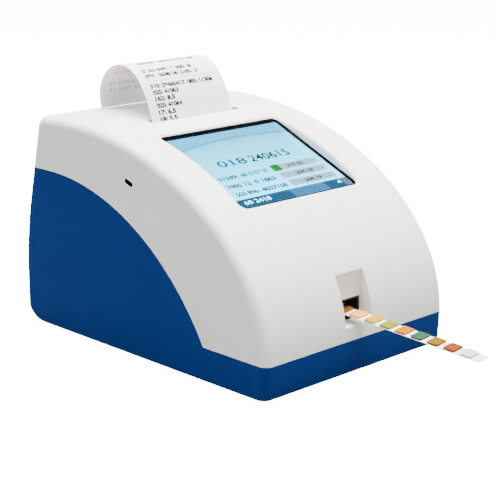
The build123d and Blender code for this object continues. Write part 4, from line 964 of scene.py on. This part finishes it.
# %% Marks on the rocker
ROCKER_PIVOT = Vector((52.0, 127.6, 22.0))
ROCKER_REST = radians(-8.0)
HALF_FACE = ((2.9, 0.0), (3.6, 5.5))
MARK_HALF, BAR_HALF_WIDTH, BAR_CORNER, RING_WIDTH, MARK_LIFT = 1.3, 0.22, 0.15, 0.4, 0.03


def on_rocker(side):
    """Places flat millimetre coordinates on one half of the rocker's face."""
    (out0, up0), (out1, up1) = HALF_FACE
    low, high = Vector((0, out0, up0)), Vector((0, out1, side * up1))
    along = (high - low).normalized()
    outward = Vector((0, 1, 0)) - along * along.y
    outward.normalize()
    across = along.cross(outward)
    middle = (low + high) / 2 + outward * MARK_LIFT
    frame_on_face = Matrix((across, along, outward)).transposed().to_4x4()
    turn = Matrix.Rotation(ROCKER_REST, 4, "X")
    return (
        Matrix.Translation(ROCKER_PIVOT * MM) @ turn @ Matrix.Scale(MM, 4)
        @ Matrix.Translation(middle) @ frame_on_face
    )


corners = (-BAR_HALF_WIDTH, -MARK_HALF, BAR_HALF_WIDTH, MARK_HALF)
bar = flat_plane("rocker_mark_bar", *corners, radius=BAR_CORNER)
finish_piece(bar, on_rocker(1), mark_white, body="power_rocker")
clear_selection()
bpy.ops.mesh.primitive_circle_add(vertices=48, radius=MARK_HALF, fill_type="NGON")
ring = bpy.context.object
ring.name = ring.data.name = "rocker_mark_ring"
bpy.ops.object.mode_set(mode="EDIT")
bpy.ops.mesh.select_all(action="SELECT")
bpy.ops.mesh.inset(thickness=RING_WIDTH)
bpy.ops.mesh.delete(type="FACE")
bpy.ops.object.mode_set(mode="OBJECT")
finish_piece(ring, on_rocker(-1), mark_white, body="power_rocker")
print("marks on the rocker:", bar.name, ring.name)

# %% [markdown]
# ## Security slot
# The slot in the left wall is lined with a near-black sleeve of painted shade, which makes it read
# from outside as a dark hole. The sleeve is the slot's own outline, drawn through the wall and
# given a thickness.

# %% Painted shade sleeve of the security slot
SLOT_PLACE = Vector((-65.95, 41.0, 92.4))
SLOT_TILT = radians(19.0)
SLOT_LENGTH, SLOT_WIDTH = 6.36, 2.46
SLEEVE_DEPTH, SLEEVE_WALL = 2.4, 0.16
sleeve = flat_plane(
    "security_slot_shade_sleeve", -SLOT_LENGTH / 2, -SLOT_WIDTH / 2, SLOT_LENGTH / 2, SLOT_WIDTH / 2,
    radius=0.49 * SLOT_WIDTH,
)
bpy.ops.object.mode_set(mode="EDIT")
bpy.ops.mesh.select_all(action="SELECT")
bpy.ops.mesh.delete(type="ONLY_FACE")
bpy.ops.mesh.select_all(action="SELECT")
bpy.ops.mesh.extrude_region_move(TRANSFORM_OT_translate={"value": (0, 0, SLEEVE_DEPTH)})
bpy.ops.mesh.select_all(action="SELECT")
bpy.ops.mesh.normals_make_consistent(inside=False)
bpy.ops.object.mode_set(mode="OBJECT")
thickness = sleeve.modifiers.new("thickness", "SOLIDIFY")
thickness.thickness = SLEEVE_WALL
thickness.offset = -1
bpy.ops.object.modifier_apply(modifier="thickness")
through_wall = Matrix((Vector((0, 0, 1)), Vector((1, 0, 0)), Vector((0, 1, 0)))).to_4x4()
place = (
    Matrix.Scale(MM, 4) @ Matrix.Translation(SLOT_PLACE)
    @ Matrix.Rotation(SLOT_TILT, 4, "X") @ through_wall
)
# Near black and matt: this material is painted shade for the dark inside of the slot.
painted_shade_black = new_material("slot_painted_shade", "#050506", 0.9, Specular_IOR_Level=0.05)
finish_piece(sleeve, place, painted_shade_black)
print("sleeve faces", len(sleeve.data.polygons))
